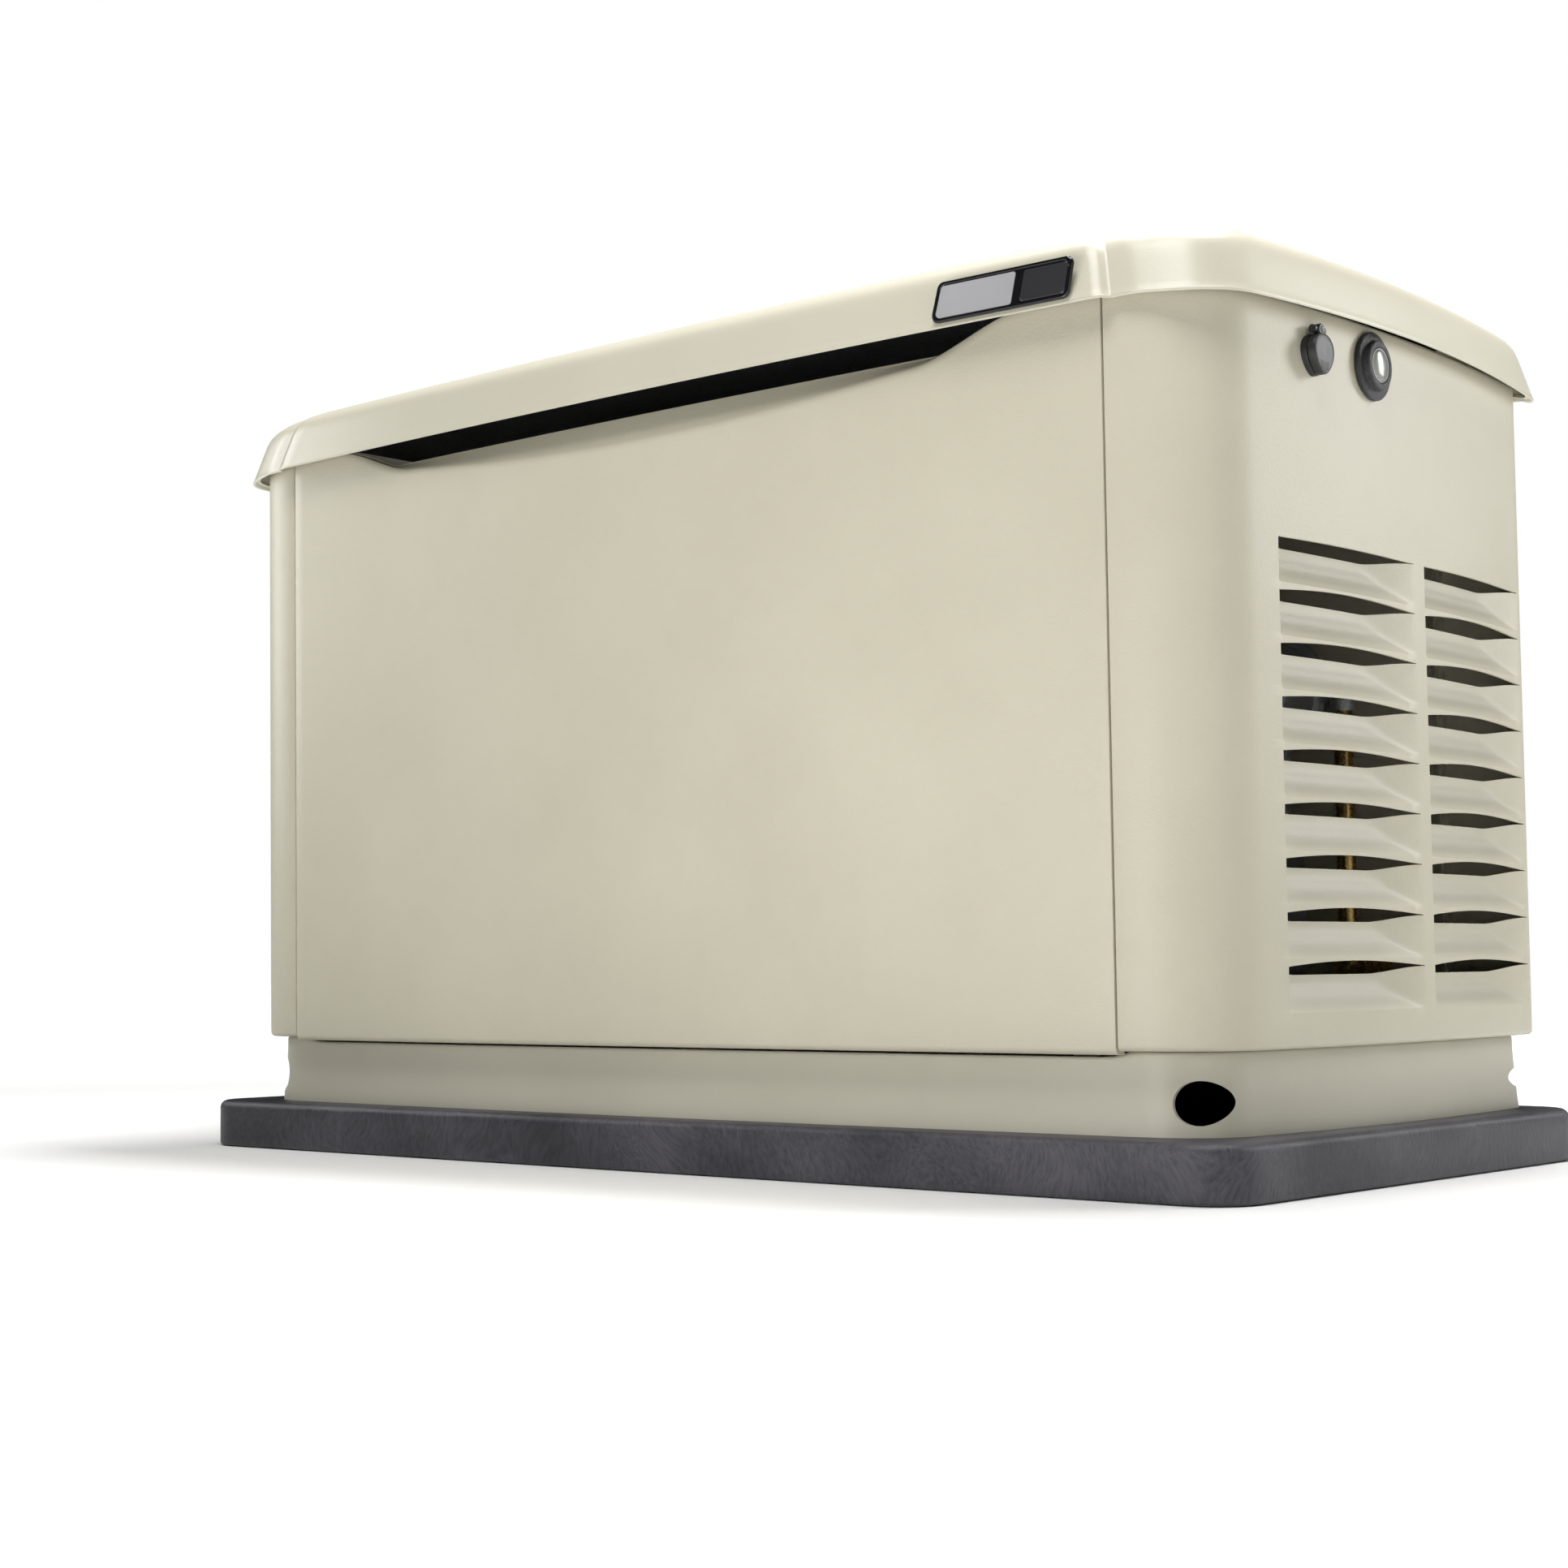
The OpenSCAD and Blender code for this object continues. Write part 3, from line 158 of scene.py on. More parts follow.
KNOT_S = knots()
PERIMETER = KNOT_S[-1]
S_END_MID = KNOT_S[2] + END_R * (math.pi / 2 - stretches()[0][2][2])
S_BACK_MID = KNOT_S[5]


def s_of_x(x):
    """Distance along the front at x."""
    return FRONT_R * np.arcsin(np.asarray(x) / FRONT_R)


def s_of_y(y):
    """Distance to the point of the right end at y."""
    return S_END_MID + END_R * np.arcsin(np.asarray(y) / END_R)


def outline(s, grow_x=0.0, grow_y=0.0):
    """Points and outward normals of the walls' plan at distances s, grown along X and Y."""
    s = np.asarray(s, float) % PERIMETER
    k = np.clip(np.searchsorted(KNOT_S, s, side="right") - 1, 0, 9)
    share = (s - KNOT_S[k]) / (KNOT_S[k + 1] - KNOT_S[k])
    left = k > 4
    k, share = np.where(left, 9 - k, k), np.where(left, 1 - share, share)
    arcs, flat = stretches(grow_x, grow_y)
    point = np.stack([flat * (1 - share), np.full(len(s), HALF_W + grow_y)], -1)
    normal = np.tile([0.0, 1.0], (len(s), 1))
    for i, (centre, radius, t0, t1) in enumerate(arcs):
        turn = t0 + share * (t1 - t0)
        facing = np.stack([np.sin(turn), -np.cos(turn)], -1)
        here = (k == i)[:, None]
        point = np.where(here, np.array(centre) + radius * facing, point)
        normal = np.where(here, facing, normal)
    flip = np.stack([np.where(left, -1.0, 1.0), np.ones(len(s))], -1)
    return point * flip, normal * flip


def wall_points(s, inset, z):
    """Points of a sheet that follows the plan at places s. inset and z hold one row for each place."""
    point, normal = outline(s)
    xy = point[:, None, :] - inset[:, :, None] * normal[:, None, :]
    return np.concatenate([xy, z[:, :, None]], 2)


# ---------------------------------------------------------------- mesh helpers

def mesh_object(name, verts, faces):
    mesh = bpy.data.meshes.new(name)
    mesh.from_pydata([tuple(v) for v in verts], [], [tuple(f) for f in faces])
    mesh.validate()
    obj = bpy.data.objects.new(name, mesh)
    bpy.context.scene.collection.objects.link(obj)
    return obj


def grid_faces(ni, nj, closed=False, keep=None):
    """Quads of a grid of ni columns and nj rows. A closed one joins its last column to its first."""
    i, j = np.meshgrid(np.arange(ni if closed else ni - 1), np.arange(nj - 1), indexing="ij")
    here, beyond = i * nj + j, ((i + 1) % ni) * nj + j
    quads = np.stack([here, beyond, beyond + 1, here + 1], -1)
    if keep is not None:
        quads = quads[keep]
    return quads.reshape(-1, 4).tolist()


def grid_object(name, points, closed=False, keep=None):
    ni, nj = points.shape[:2]
    return mesh_object(name, points.reshape(-1, 3), grid_faces(ni, nj, closed, keep))


def modify(obj, kind, **settings):
    mod = obj.modifiers.new(kind.title(), kind)
    for key, value in settings.items():
        setattr(mod, key, value)
    return mod


def bake(obj):
    """Makes the modifiers' result the object's own mesh."""
    bpy.context.view_layer.update()
    shape = obj.evaluated_get(bpy.context.evaluated_depsgraph_get())
    mesh = bpy.data.meshes.new_from_object(shape)
    obj.modifiers.clear()
    obj.data = mesh
    return obj


def smooth(obj, angle=32):
    obj.data.polygons.foreach_set("use_smooth", [True] * len(obj.data.polygons))
    obj.data.set_sharp_from_angle(angle=math.radians(angle))
    return obj


def thicken(obj, thickness=SHEET_T):
    modify(obj, "SOLIDIFY", thickness=thickness, offset=-1)
    return bake(obj)


def clean(obj, dist=0.02 * MM):
    """Merges doubled points, drops stray ones and turns every face outward."""
    bm = bmesh.new()
    bm.from_mesh(obj.data)
    bmesh.ops.remove_doubles(bm, verts=bm.verts, dist=dist)
    bmesh.ops.dissolve_degenerate(bm, dist=dist, edges=bm.edges)
    loose = [v for v in bm.verts if not v.link_faces]
    bmesh.ops.delete(bm, geom=loose, context="VERTS")
    bmesh.ops.recalc_face_normals(bm, faces=bm.faces)
    bm.to_mesh(obj.data)
    bm.free()
    return obj


def place(obj, body, material, slot, *replaced):
    """Gives a finished piece its material, its CAD body and the nodes that it stands for."""
    obj.data.materials.clear()
    obj.data.materials.append(material)
    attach(obj, body)
    if replaced:
        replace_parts(obj, *replaced)
    return obj


def lathe(name, profile, axis_from, direction, steps=64):
    """A turned piece: profile is (radius, distance along the axis) from a point, closed on itself."""
    direction = Vector(direction).normalized()
    turn = direction.to_track_quat("Z", "Y").to_matrix()
    rows = np.array(profile)
    angle = np.linspace(0, 2 * math.pi, steps, endpoint=False)
    ring = np.stack([np.cos(angle), np.sin(angle)], -1)
    local = np.concatenate([rows[None, :, :1] * ring[:, None, :],
                            np.repeat(rows[None, :, 1:], steps, 0)], 2)
    world = local @ np.array(turn).T + np.array(axis_from)
    return clean(grid_object(name, world, closed=True))


def cut(obj, *cutters):
    """Takes the cutters out of a piece and removes them."""
    for cutter in cutters:
        mod = obj.modifiers.new("Cut", "BOOLEAN")
        mod.object = cutter
        mod.operation = "DIFFERENCE"
        mod.solver = "EXACT"
    bake(obj)
    for cutter in cutters:
        bpy.data.objects.remove(cutter)
    return obj


def rod(name, radius, start, end, steps=48):
    start, end = Vector(start), Vector(end)
    length = (end - start).length
    return lathe(name, [(0, 0), (radius, 0), (radius, length), (0, length)], start, end - start, steps)


def smoothstep(x, lo=0.0, hi=1.0):
    t = np.clip((np.asarray(x, float) - lo) / (hi - lo), 0, 1)
    return t * t * (3 - 2 * t)


def soft_min(a, b, k):
    h = np.clip(0.5 + 0.5 * (b - a) / k, 0, 1)
    return b * (1 - h) + a * h - k * h * (1 - h)


# ---------------------------------------------------------------- materials

def new_material(name):
    material = bpy.data.materials.new(name)
    material.use_nodes = True
    nodes = material.node_tree.nodes
    return material, nodes, material.node_tree.links, nodes["Principled BSDF"]


def node(nodes, kind, **values):
    """A shader node with its input sockets set by name."""
    made = nodes.new("ShaderNode" + kind)
    for key, value in values.items():
        if key in made.inputs:
            made.inputs[key].default_value = value
        else:
            setattr(made, key, value)
    return made


def ramp(nodes, links, source, low, high, dark, light):
    """A colour ramp on a 0 to 1 value."""
    made = nodes.new("ShaderNodeValToRGB")
    made.color_ramp.elements[0].position = low
    made.color_ramp.elements[1].position = high
    made.color_ramp.elements[0].color = (*dark, 1)
    made.color_ramp.elements[1].color = (*light, 1)
    links.new(source, made.inputs["Fac"])
    return made.outputs["Color"]


def spread(nodes, links, source, low, high):
    """A 0 to 1 value stretched between two numbers."""
    made = nodes.new("ShaderNodeMapRange")
    made.inputs["To Min"].default_value = low
    made.inputs["To Max"].default_value = high
    links.new(source, made.inputs["Value"])
    return made.outputs["Result"]


ROUGH_SPREAD = 0.06


def grainy(name, dark, light, rough, scale, bump, distance, metallic=0.0, blotch=6.0):
    """Large soft blotches of colour, with a fine grain in the height and the roughness."""
    material, nodes, links, shader = new_material(name)
    coords = nodes.new("ShaderNodeTexCoord")
    clouds = node(nodes, "TexNoise", Scale=blotch, Detail=4.0, Roughness=0.55)
    grain = node(nodes, "TexNoise", Scale=scale, Detail=3.0, Roughness=0.6)
    for texture in (clouds, grain):
        links.new(coords.outputs["Object"], texture.inputs["Vector"])
    colour = ramp(nodes, links, clouds.outputs["Fac"], 0.3, 0.7, dark, light)
    links.new(colour, shader.inputs["Base Color"])
    low, high = max(0.0, rough - ROUGH_SPREAD), min(1.0, rough + ROUGH_SPREAD)
    links.new(spread(nodes, links, grain.outputs["Fac"], low, high), shader.inputs["Roughness"])
    shader.inputs["Metallic"].default_value = metallic
    lift = node(nodes, "Bump", Strength=bump, Distance=distance)
    links.new(grain.outputs["Fac"], lift.inputs["Height"])
    links.new(lift.outputs["Normal"], shader.inputs["Normal"])
    return material


# Dark and light colour, roughness, the grain's scale, and its bump's strength and distance
LOOKS = {
    "wall_paint": ((0.50, 0.47, 0.365), (0.535, 0.505, 0.395), 0.46, 420, 0.28, 0.0009),
    "lid_paint": ((0.54, 0.515, 0.41), (0.565, 0.54, 0.435), 0.36, 300, 0.14, 0.0008),
    "skirt_paint": ((0.49, 0.465, 0.375), (0.53, 0.505, 0.41), 0.40, 300, 0.10, 0.0006),
    "foam": ((0.028, 0.028, 0.03), (0.05, 0.05, 0.052), 0.95, 260, 1.0, 0.004),
    "zinc": ((0.50, 0.50, 0.49), (0.64, 0.63, 0.60), 0.34, 500, 0.15, 0.0005),
    "black_plastic": ((0.016, 0.016, 0.017), (0.022, 0.022, 0.023), 0.42, 900, 0.35, 0.0005),
    "rough_black": ((0.012, 0.012, 0.013), (0.03, 0.03, 0.031), 0.5, 520, 0.9, 0.0011),
    "gloss_black": ((0.006, 0.006, 0.007), (0.009, 0.009, 0.01), 0.12, 200, 0.02, 0.0003),
    "badge_grey": ((0.33, 0.33, 0.34), (0.38, 0.38, 0.39), 0.34, 300, 0.03, 0.0003),
    "badge_dark": ((0.028, 0.028, 0.031), (0.036, 0.036, 0.04), 0.22, 120, 0.02, 0.0003),
    "grey_steel": ((0.40, 0.39, 0.37), (0.52, 0.51, 0.49), 0.42, 300, 0.2, 0.0006),
    "hot_steel": ((0.24, 0.19, 0.15), (0.46, 0.43, 0.39), 0.45, 260, 0.3, 0.0008),
    "cast_alloy": ((0.42, 0.43, 0.44), (0.52, 0.53, 0.54), 0.5, 700, 0.6, 0.0012),
    "black_paint": ((0.02, 0.02, 0.022), (0.034, 0.034, 0.036), 0.35, 350, 0.2, 0.0005),
    "forged_steel": ((0.36, 0.37, 0.38), (0.46, 0.47, 0.48), 0.28, 600, 0.1, 0.0004),
    "copper": ((0.30, 0.12, 0.045), (0.45, 0.20, 0.08), 0.38, 700, 0.8, 0.0012),
    "filter_paint": ((0.72, 0.70, 0.63), (0.78, 0.76, 0.70), 0.25, 200, 0.05, 0.0004),
    "yellow": ((0.68, 0.46, 0.03), (0.76, 0.53, 0.045), 0.3, 300, 0.1, 0.0004),
    "paper": ((0.60, 0.52, 0.34), (0.70, 0.63, 0.44), 0.85, 900, 0.6, 0.0008),
    "orange": ((0.66, 0.20, 0.03), (0.74, 0.26, 0.045), 0.38, 400, 0.15, 0.0004),
    "rubber": ((0.012, 0.012, 0.012), (0.022, 0.022, 0.022), 0.75, 600, 0.5, 0.0006),
    "brass": ((0.60, 0.40, 0.14), (0.72, 0.50, 0.20), 0.28, 500, 0.1, 0.0004),
    "control_grey": ((0.30, 0.31, 0.29), (0.34, 0.35, 0.33), 0.42, 500, 0.25, 0.0005),
    "green": ((0.04, 0.30, 0.07), (0.05, 0.36, 0.09), 0.35, 500, 0.15, 0.0004),
    "red": ((0.48, 0.03, 0.02), (0.56, 0.04, 0.03), 0.35, 500, 0.15, 0.0004),
    "blue": ((0.03, 0.09, 0.34), (0.04, 0.12, 0.42), 0.35, 500, 0.15, 0.0004),
    "battery_case": ((0.012, 0.012, 0.013), (0.02, 0.02, 0.021), 0.5, 500, 0.4, 0.0006),
}
# Metals, and looks whose blotches are not the usual size
EXTRAS = {
    "zinc": dict(metallic=1.0, blotch=40),
    "grey_steel": dict(metallic=0.9),
    "hot_steel": dict(metallic=0.9, blotch=14),
    "cast_alloy": dict(metallic=0.85),
    "forged_steel": dict(metallic=1.0),
    "copper": dict(metallic=0.4, blotch=60),
    "brass": dict(metallic=1.0, blotch=40),
    "rough_black": dict(blotch=90),
}
MAT = {name: grainy(name, *look, **EXTRAS.get(name, {})) for name, look in LOOKS.items()}


def pad_material():
    """Moulded composite: dark, with brushed streaks that change direction from patch to patch."""
    material, nodes, links, shader = new_material("pad_composite")
    coords = nodes.new("ShaderNodeTexCoord")
    warp = node(nodes, "TexNoise", Scale=5.0, Detail=2.0)
    links.new(coords.outputs["Object"], warp.inputs["Vector"])
    bend = nodes.new("ShaderNodeVectorMath")
    bend.operation = "MULTIPLY_ADD"
    bend.inputs[1].default_value = (0.22, 0.22, 0.22)
    links.new(warp.outputs["Color"], bend.inputs[0])
    links.new(coords.outputs["Object"], bend.inputs[2])
    mapping = node(nodes, "Mapping")
    mapping.inputs["Scale"].default_value = (30, 30, 9)
    mapping.inputs["Rotation"].default_value = (0.5, 0.35, 0.2)
    links.new(bend.outputs["Vector"], mapping.inputs["Vector"])
    streaks = node(nodes, "TexNoise", Scale=9.0, Detail=6.0, Roughness=0.7)
    links.new(mapping.outputs["Vector"], streaks.inputs["Vector"])
    patches = node(nodes, "TexNoise", Scale=6.0, Detail=3.0)
    links.new(coords.outputs["Object"], patches.inputs["Vector"])
    both = nodes.new("ShaderNodeMath")
    both.operation = "MULTIPLY"
    links.new(streaks.outputs["Fac"], both.inputs[0])
    links.new(patches.outputs["Fac"], both.inputs[1])
    dark, light = (0.013, 0.013, 0.019), (0.085, 0.08, 0.095)
    colour = ramp(nodes, links, both.outputs["Value"], 0.14, 0.42, dark, light)
    links.new(colour, shader.inputs["Base Color"])
    roughness = spread(nodes, links, streaks.outputs["Fac"], 0.34, 0.6)
    links.new(roughness, shader.inputs["Roughness"])
    lift = node(nodes, "Bump", Strength=0.5, Distance=0.0014)
    links.new(streaks.outputs["Fac"], lift.inputs["Height"])
    links.new(lift.outputs["Normal"], shader.inputs["Normal"])
    return material


def lens_material():
    """A thick frosted lens: milky and slightly green-grey."""
    material, nodes, links, shader = new_material("clear_lens")
    coords = nodes.new("ShaderNodeTexCoord")
    frost = node(nodes, "TexNoise", Scale=900.0, Detail=2.0)
    links.new(coords.outputs["Object"], frost.inputs["Vector"])
    colour = ramp(nodes, links, frost.outputs["Fac"], 0.3, 0.7, (0.34, 0.36, 0.31), (0.42, 0.44, 0.38))
    links.new(colour, shader.inputs["Base Color"])
    roughness = spread(nodes, links, frost.outputs["Fac"], 0.12, 0.22)
    links.new(roughness, shader.inputs["Roughness"])
    shader.inputs["Transmission Weight"].default_value = 0.35
    shader.inputs["IOR"].default_value = 1.49
    return material


MAT["pad"] = pad_material()
MAT["lens"] = lens_material()

NODES_BY_LOOK = {
    "foam": ["lid_foam"],
    "zinc": ["hinge_fixed_leaves", "hinge_moving_leaves", "hinge_pins", "right_lock_barrel",
        "left_lock_barrel", "lid_keepers", "panel_screws", "battery_strap"],
    "grey_steel": ["divider_panel"],
    "cast_alloy": ["crankcase", "cylinders", "cylinder_heads", "fuel_mixer", "fuel_regulator",
        "bearing_carrier"],
    "black_paint": ["rocker_covers", "starter_motor", "alternator_can"],
    "forged_steel": ["crankshaft", "rotor_bearing"],
    "black_plastic": ["flywheel_fan", "blower_housing", "air_cleaner_base", "air_cleaner_cover",
        "control_fascia"],
    "filter_paint": ["oil_filter"],
    "yellow": ["oil_dipstick", "oil_fill_cap"],
    "paper": ["air_filter"],
    "orange": ["fuel_selector_knob"],
    "rubber": ["fuel_hose", "rubber_mounts"],
    "brass": ["fuel_inlet"],
    "hot_steel": ["exhaust_pipes", "muffler"],
    "copper": ["stator", "rotor"],
    "battery_case": ["battery"],
    "control_grey": ["control_housing"],
    "green": ["auto_button"],
    "red": ["off_button"],
    "blue": ["manual_button"],
    "gloss_black": ["breaker", "breaker_lever"],
}
NODE_LOOKS = {name: look for look, names in NODES_BY_LOOK.items() for name in names}
SLOT_OF = {row["node"]: row["material_slot"] for row in frame["record"]["subparts"]}


# ---------------------------------------------------------------- panels

FLAT_STEP = 14 * MM
CORNER_STEP = 5 * MM
FOLD_COLUMNS = 3


def places(start, end, extra=()):
    """Places along the plan: close together round the corners, further apart on the bowed sides."""
    found = [start, end, *extra]
    for k, (a, b) in enumerate(zip(KNOT_S[:-1], KNOT_S[1:])):
        for lap in (-1, 0):
            lo, hi = max(start, a + lap * PERIMETER), min(end, b + lap * PERIMETER)
            if hi > lo:
                step = CORNER_STEP if k in CORNERS else FLAT_STEP
                found.extend(np.linspace(lo, hi, max(2, int((hi - lo) / step) + 1)))
    found = np.unique(np.round(found, 7))
    return found[np.concatenate([[True], np.diff(found) > 0.25 * MM])]


def folded_edges(s, inset, z):
    """Rounds a sheet's two upright edges and folds them inward. Each gains FOLD_COLUMNS columns."""
    first = [(SEAM_R, 0.0), (0.3 * SEAM_R, 0.3 * SEAM_R), (0.0, SEAM_R), (0.0, FOLD)]
    head_s = [s[0] + a for a, _ in first][::-1]
    tail_s = [s[-1] - a for a, _ in first]
    head_i = [inset[0] + b for _, b in first][::-1]
    tail_i = [inset[-1] + b for _, b in first]
    s = np.concatenate([head_s, s[1:-1], tail_s])
    inset = np.concatenate([head_i, inset[1:-1], tail_i])
    copies = FOLD_COLUMNS + 1
    z = np.concatenate([[z[0]] * copies, z[1:-1], [z[-1]] * copies])
    return s, inset, z


def rim_rows(edge_z, up, flange=FLANGE, radius=EDGE_R):
    """Rows of (inset, height) that round a level edge and turn it inward. up is 1 at the top."""
    rows = [(0.0, edge_z - up * radius)]
    for k in range(1, 5):
        a = math.radians(22.5 * k)
        rows.append((radius * (1 - math.cos(a)), edge_z - up * radius * (1 - math.sin(a))))
    rows.append((flange, edge_z))
    return rows


LOUVRE_STARTS = [LOUVRE_MID_Y + side * (LOUVRE_GAP + LOUVRE_W) / 2 - LOUVRE_W / 2 for side in (-1, 1)]


def louvre_at(y):
    """Share of the way across a louvre at y, from its front end, or None between louvres."""
    for start in LOUVRE_STARTS:
        share = (y - start) / LOUVRE_W
        if -1e-6 <= share <= 1 + 1e-6:
            return min(1.0, max(0.0, share))
    return None


FRONT_SHARES = [0, 0.008, 0.016, 0.026, 0.04, 0.06, 0.085]
LOUVRE_SHARES = np.unique(np.concatenate([FRONT_SHARES, np.linspace(0.115, 1, 34)]))
FALL_SHARES = [0, 0.05, 0.12, 0.2, 0.28, 0.36, 0.44, 0.52, 0.6, 0.68, 0.76, 0.84, 0.9, 0.95, 1.0]
REAR_SLOPE = 0.31
FRONT_SLOPE = 0.045


def louvre_inset(u, t):
    """Depth of a louvre's pressing at share u of its width and share t of the fall below its lip."""
    fall = LOUVRE_DEPTH * (1 - np.clip(t, 0, 1) ** 1.9) - 0.5 * MM * np.exp(-((t - 0.42) / 0.09) ** 2)
    rear = LOUVRE_DEPTH * (1 - u) / REAR_SLOPE
    front = LOUVRE_DEPTH * u / FRONT_SLOPE
    depth = soft_min(fall, rear, 1.3 * MM)
    depth = soft_min(depth, front, 2.0 * MM)
    return np.clip(depth, 0, None)


def louvre_columns():
    """Places along a louvred panel, with the ones that the louvres need across the end."""
    louvre_y = [start + share * LOUVRE_W for start in LOUVRE_STARTS for share in LOUVRE_SHARES]
    s_lo, s_hi = float(s_of_y(min(louvre_y))), float(s_of_y(max(louvre_y)))
    s = places(float(s_of_x(SEAM_X)) + SEAM_GAP, S_BACK_MID - SEAM_X - SEAM_GAP)
    s = s[(s < s_lo - 2 * MM) | (s > s_hi + 2 * MM)]
    strip = s_of_y([LOUVRE_MID_Y - 5 * MM, LOUVRE_MID_Y, LOUVRE_MID_Y + 5 * MM])
    s = np.sort(np.concatenate([s, s_of_y(louvre_y), strip]))
    on_end = (s > s_lo - 1e-6) & (s < s_hi + 1e-6)
    shares = [louvre_at(p[1]) if on else None for p, on in zip(outline(s)[0], on_end)]
    return s, shares


def end_panel(name, with_indicator):
    """A louvred end panel that wraps round both corners, with a real slit over each louvre's lip."""
    s, shares = louvre_columns()
    u = np.array([0.0 if share is None else share for share in shares])
    inside = np.array([share is not None for share in shares])
    drop = np.minimum(smoothstep(u, 0, 0.10), 1 - smoothstep(u, 0.66, 1.0) ** 0.8)
    level = np.ones(len(s))
    rows = [(inset * level, z * level) for inset, z in rim_rows(SKIRT_TOP, -1)[::-1]]
    low = LOUVRE_TOP - (LOUVRE_ROWS - 1) * LOUVRE_PITCH - LOUVRE_FALL
    rows.append((0 * level, (SKIRT_TOP + low) / 2 * level))
    slit_rows = []
    for row in reversed(range(LOUVRE_ROWS)):
        z0 = LOUVRE_TOP - row * LOUVRE_PITCH
        lip = z0 - np.where(inside, HALF_SLIT + SLIT_DOWN * drop, HALF_SLIT)
        arch = SLIT_UP if row else 0.2 * SLIT_UP
        top = z0 + np.where(inside, HALF_SLIT + arch * np.sin(math.pi * u ** 0.9), HALF_SLIT)
        for t in FALL_SHARES[::-1]:
            rows.append((np.where(inside, louvre_inset(u, t), 0.0), lip + (z0 - LOUVRE_FALL - lip) * t))
        slit_rows.append(len(rows) - 1)
        rows.append((0 * level, top))
    for z in np.linspace(LOUVRE_TOP + 20 * MM, WALL_TOP - 12 * MM, 8):
        rows.append((0 * level, z * level))
    rows += [(inset * level, z * level) for inset, z in rim_rows(WALL_TOP, 1)]
    s, inset, z = folded_edges(s, *(np.stack(part, 1) for part in zip(*rows)))
    keep = np.ones((len(s) - 1, len(rows) - 1), bool)
    open_here = inside[:-1] & inside[1:] & (u[1:] >= u[:-1])
    for row in slit_rows:
        keep[FOLD_COLUMNS:FOLD_COLUMNS + len(open_here), row] &= ~open_here
    obj = clean(grid_object(name, wall_points(s, inset, z), keep=keep))
    thicken(obj)
    holes = [end_hole(LOCK_Y, LOCK_HOLE_R)]
    if with_indicator:
        holes.append(end_hole(LENS_Y, LENS_HOLE_R))
    return cut(obj, *holes)


def end_hole(y, radius):
    return rod("cutter", radius, (HALF_L - 60 * MM, y, LOCK_Z), (HALF_L + 40 * MM, y, LOCK_Z))


def mirrored(obj, name):
    copy = obj.copy()
    copy.data = obj.data.copy()
    copy.name = name
    bpy.context.scene.collection.objects.link(copy)
    bm = bmesh.new()
    bm.from_mesh(copy.data)
    for v in bm.verts:
        v.co.x = -v.co.x
    bmesh.ops.reverse_faces(bm, faces=bm.faces)
    bm.to_mesh(copy.data)
    bm.free()
    return copy


def make_end_panels():
    right = smooth(end_panel("right_louvred_panel", True))
    place(right, "enclosure", MAT["wall_paint"], "bisque_paint", "right_end_panel")
    plain = end_panel("left_source", False)
    left = smooth(mirrored(plain, "left_louvred_panel"))
    bpy.data.objects.remove(plain)
    place(left, "enclosure", MAT["wall_paint"], "bisque_paint", "left_end_panel")


SCOOP_DEPTH = 46 * MM
SCOOP_CROWN = 15 * MM
SCOOP_IN = 300 * MM
SCOOP_OUT = 425 * MM
GRIP_DEPTH = 12.5 * MM
GRIP_TOP = WALL_TOP - 22 * MM
ROLL_R = 5 * MM
ROLL_FOOT = 9 * MM


def scoop_edge(x):
    """Height of the front panel's face at x, where the grip is scooped out of its top edge."""
    x = np.abs(x)
    low = WALL_TOP - SCOOP_DEPTH + SCOOP_CROWN * (np.minimum(x, SCOOP_IN) / SCOOP_IN) ** 2
    share = np.clip((x - SCOOP_IN) / (SCOOP_OUT - SCOOP_IN), 0, 1)
    blend = (1 - np.cos(math.pi * share)) / 2
    return low + blend * (WALL_TOP - low)


def front_panel():
    """The bowed front panel, with the grip's slanted inner wall scooped into its top edge."""
    half = float(s_of_x(SEAM_X))
    s = places(-half, half, extra=np.linspace(-0.44, 0.44, 111))
    x = outline(s)[0][:, 0]
    edge = scoop_edge(x)
    deep = 1 - smoothstep(np.abs(x), 0.86 * SCOOP_OUT, 1.01 * SCOOP_OUT)
    rows = rim_rows(FRONT_LO.z + 5 * MM, -1, 14 * MM, 5 * MM)[::-1]
    base = FRONT_LO.z + 10 * MM
    for share in np.linspace(0, 1, 22)[1:]:
        rows.append((0.0, base + share * (edge - ROLL_FOOT - base)))
    for angle in (15, 30, 45, 60):
        a = math.radians(angle)
        rise = 8 * MM * math.sin(a) / math.sin(math.radians(60))
        rows.append((deep * ROLL_R * (1 - np.cos(a)), edge - ROLL_FOOT + rise))
    top = np.maximum(GRIP_TOP, edge + 1.5 * MM)
    start_i, start_z = deep * ROLL_R * 0.5, edge - 1 * MM
    for share in np.linspace(0, 1, 6)[1:]:
        rows.append((start_i + share * (deep * GRIP_DEPTH - start_i),
                     start_z + share * (top - 2 * MM - start_z)))
    rows.append((deep * GRIP_DEPTH + 0.8 * MM, top - 0.5 * MM))
    rows.append((deep * GRIP_DEPTH + 2.6 * MM, top))
    inset = np.stack([np.broadcast_to(r[0], s.shape) for r in rows], 1)
    z = np.stack([np.broadcast_to(r[1], s.shape) for r in rows], 1)
    s, inset, z = folded_edges(s, inset, z)
    obj = clean(grid_object("front_panel_skin", wall_points(s, inset, z)))
    thicken(obj)
    smooth(obj, 40)
    return place(obj, "front_panel", MAT["wall_paint"], "bisque_paint", "front_panel")


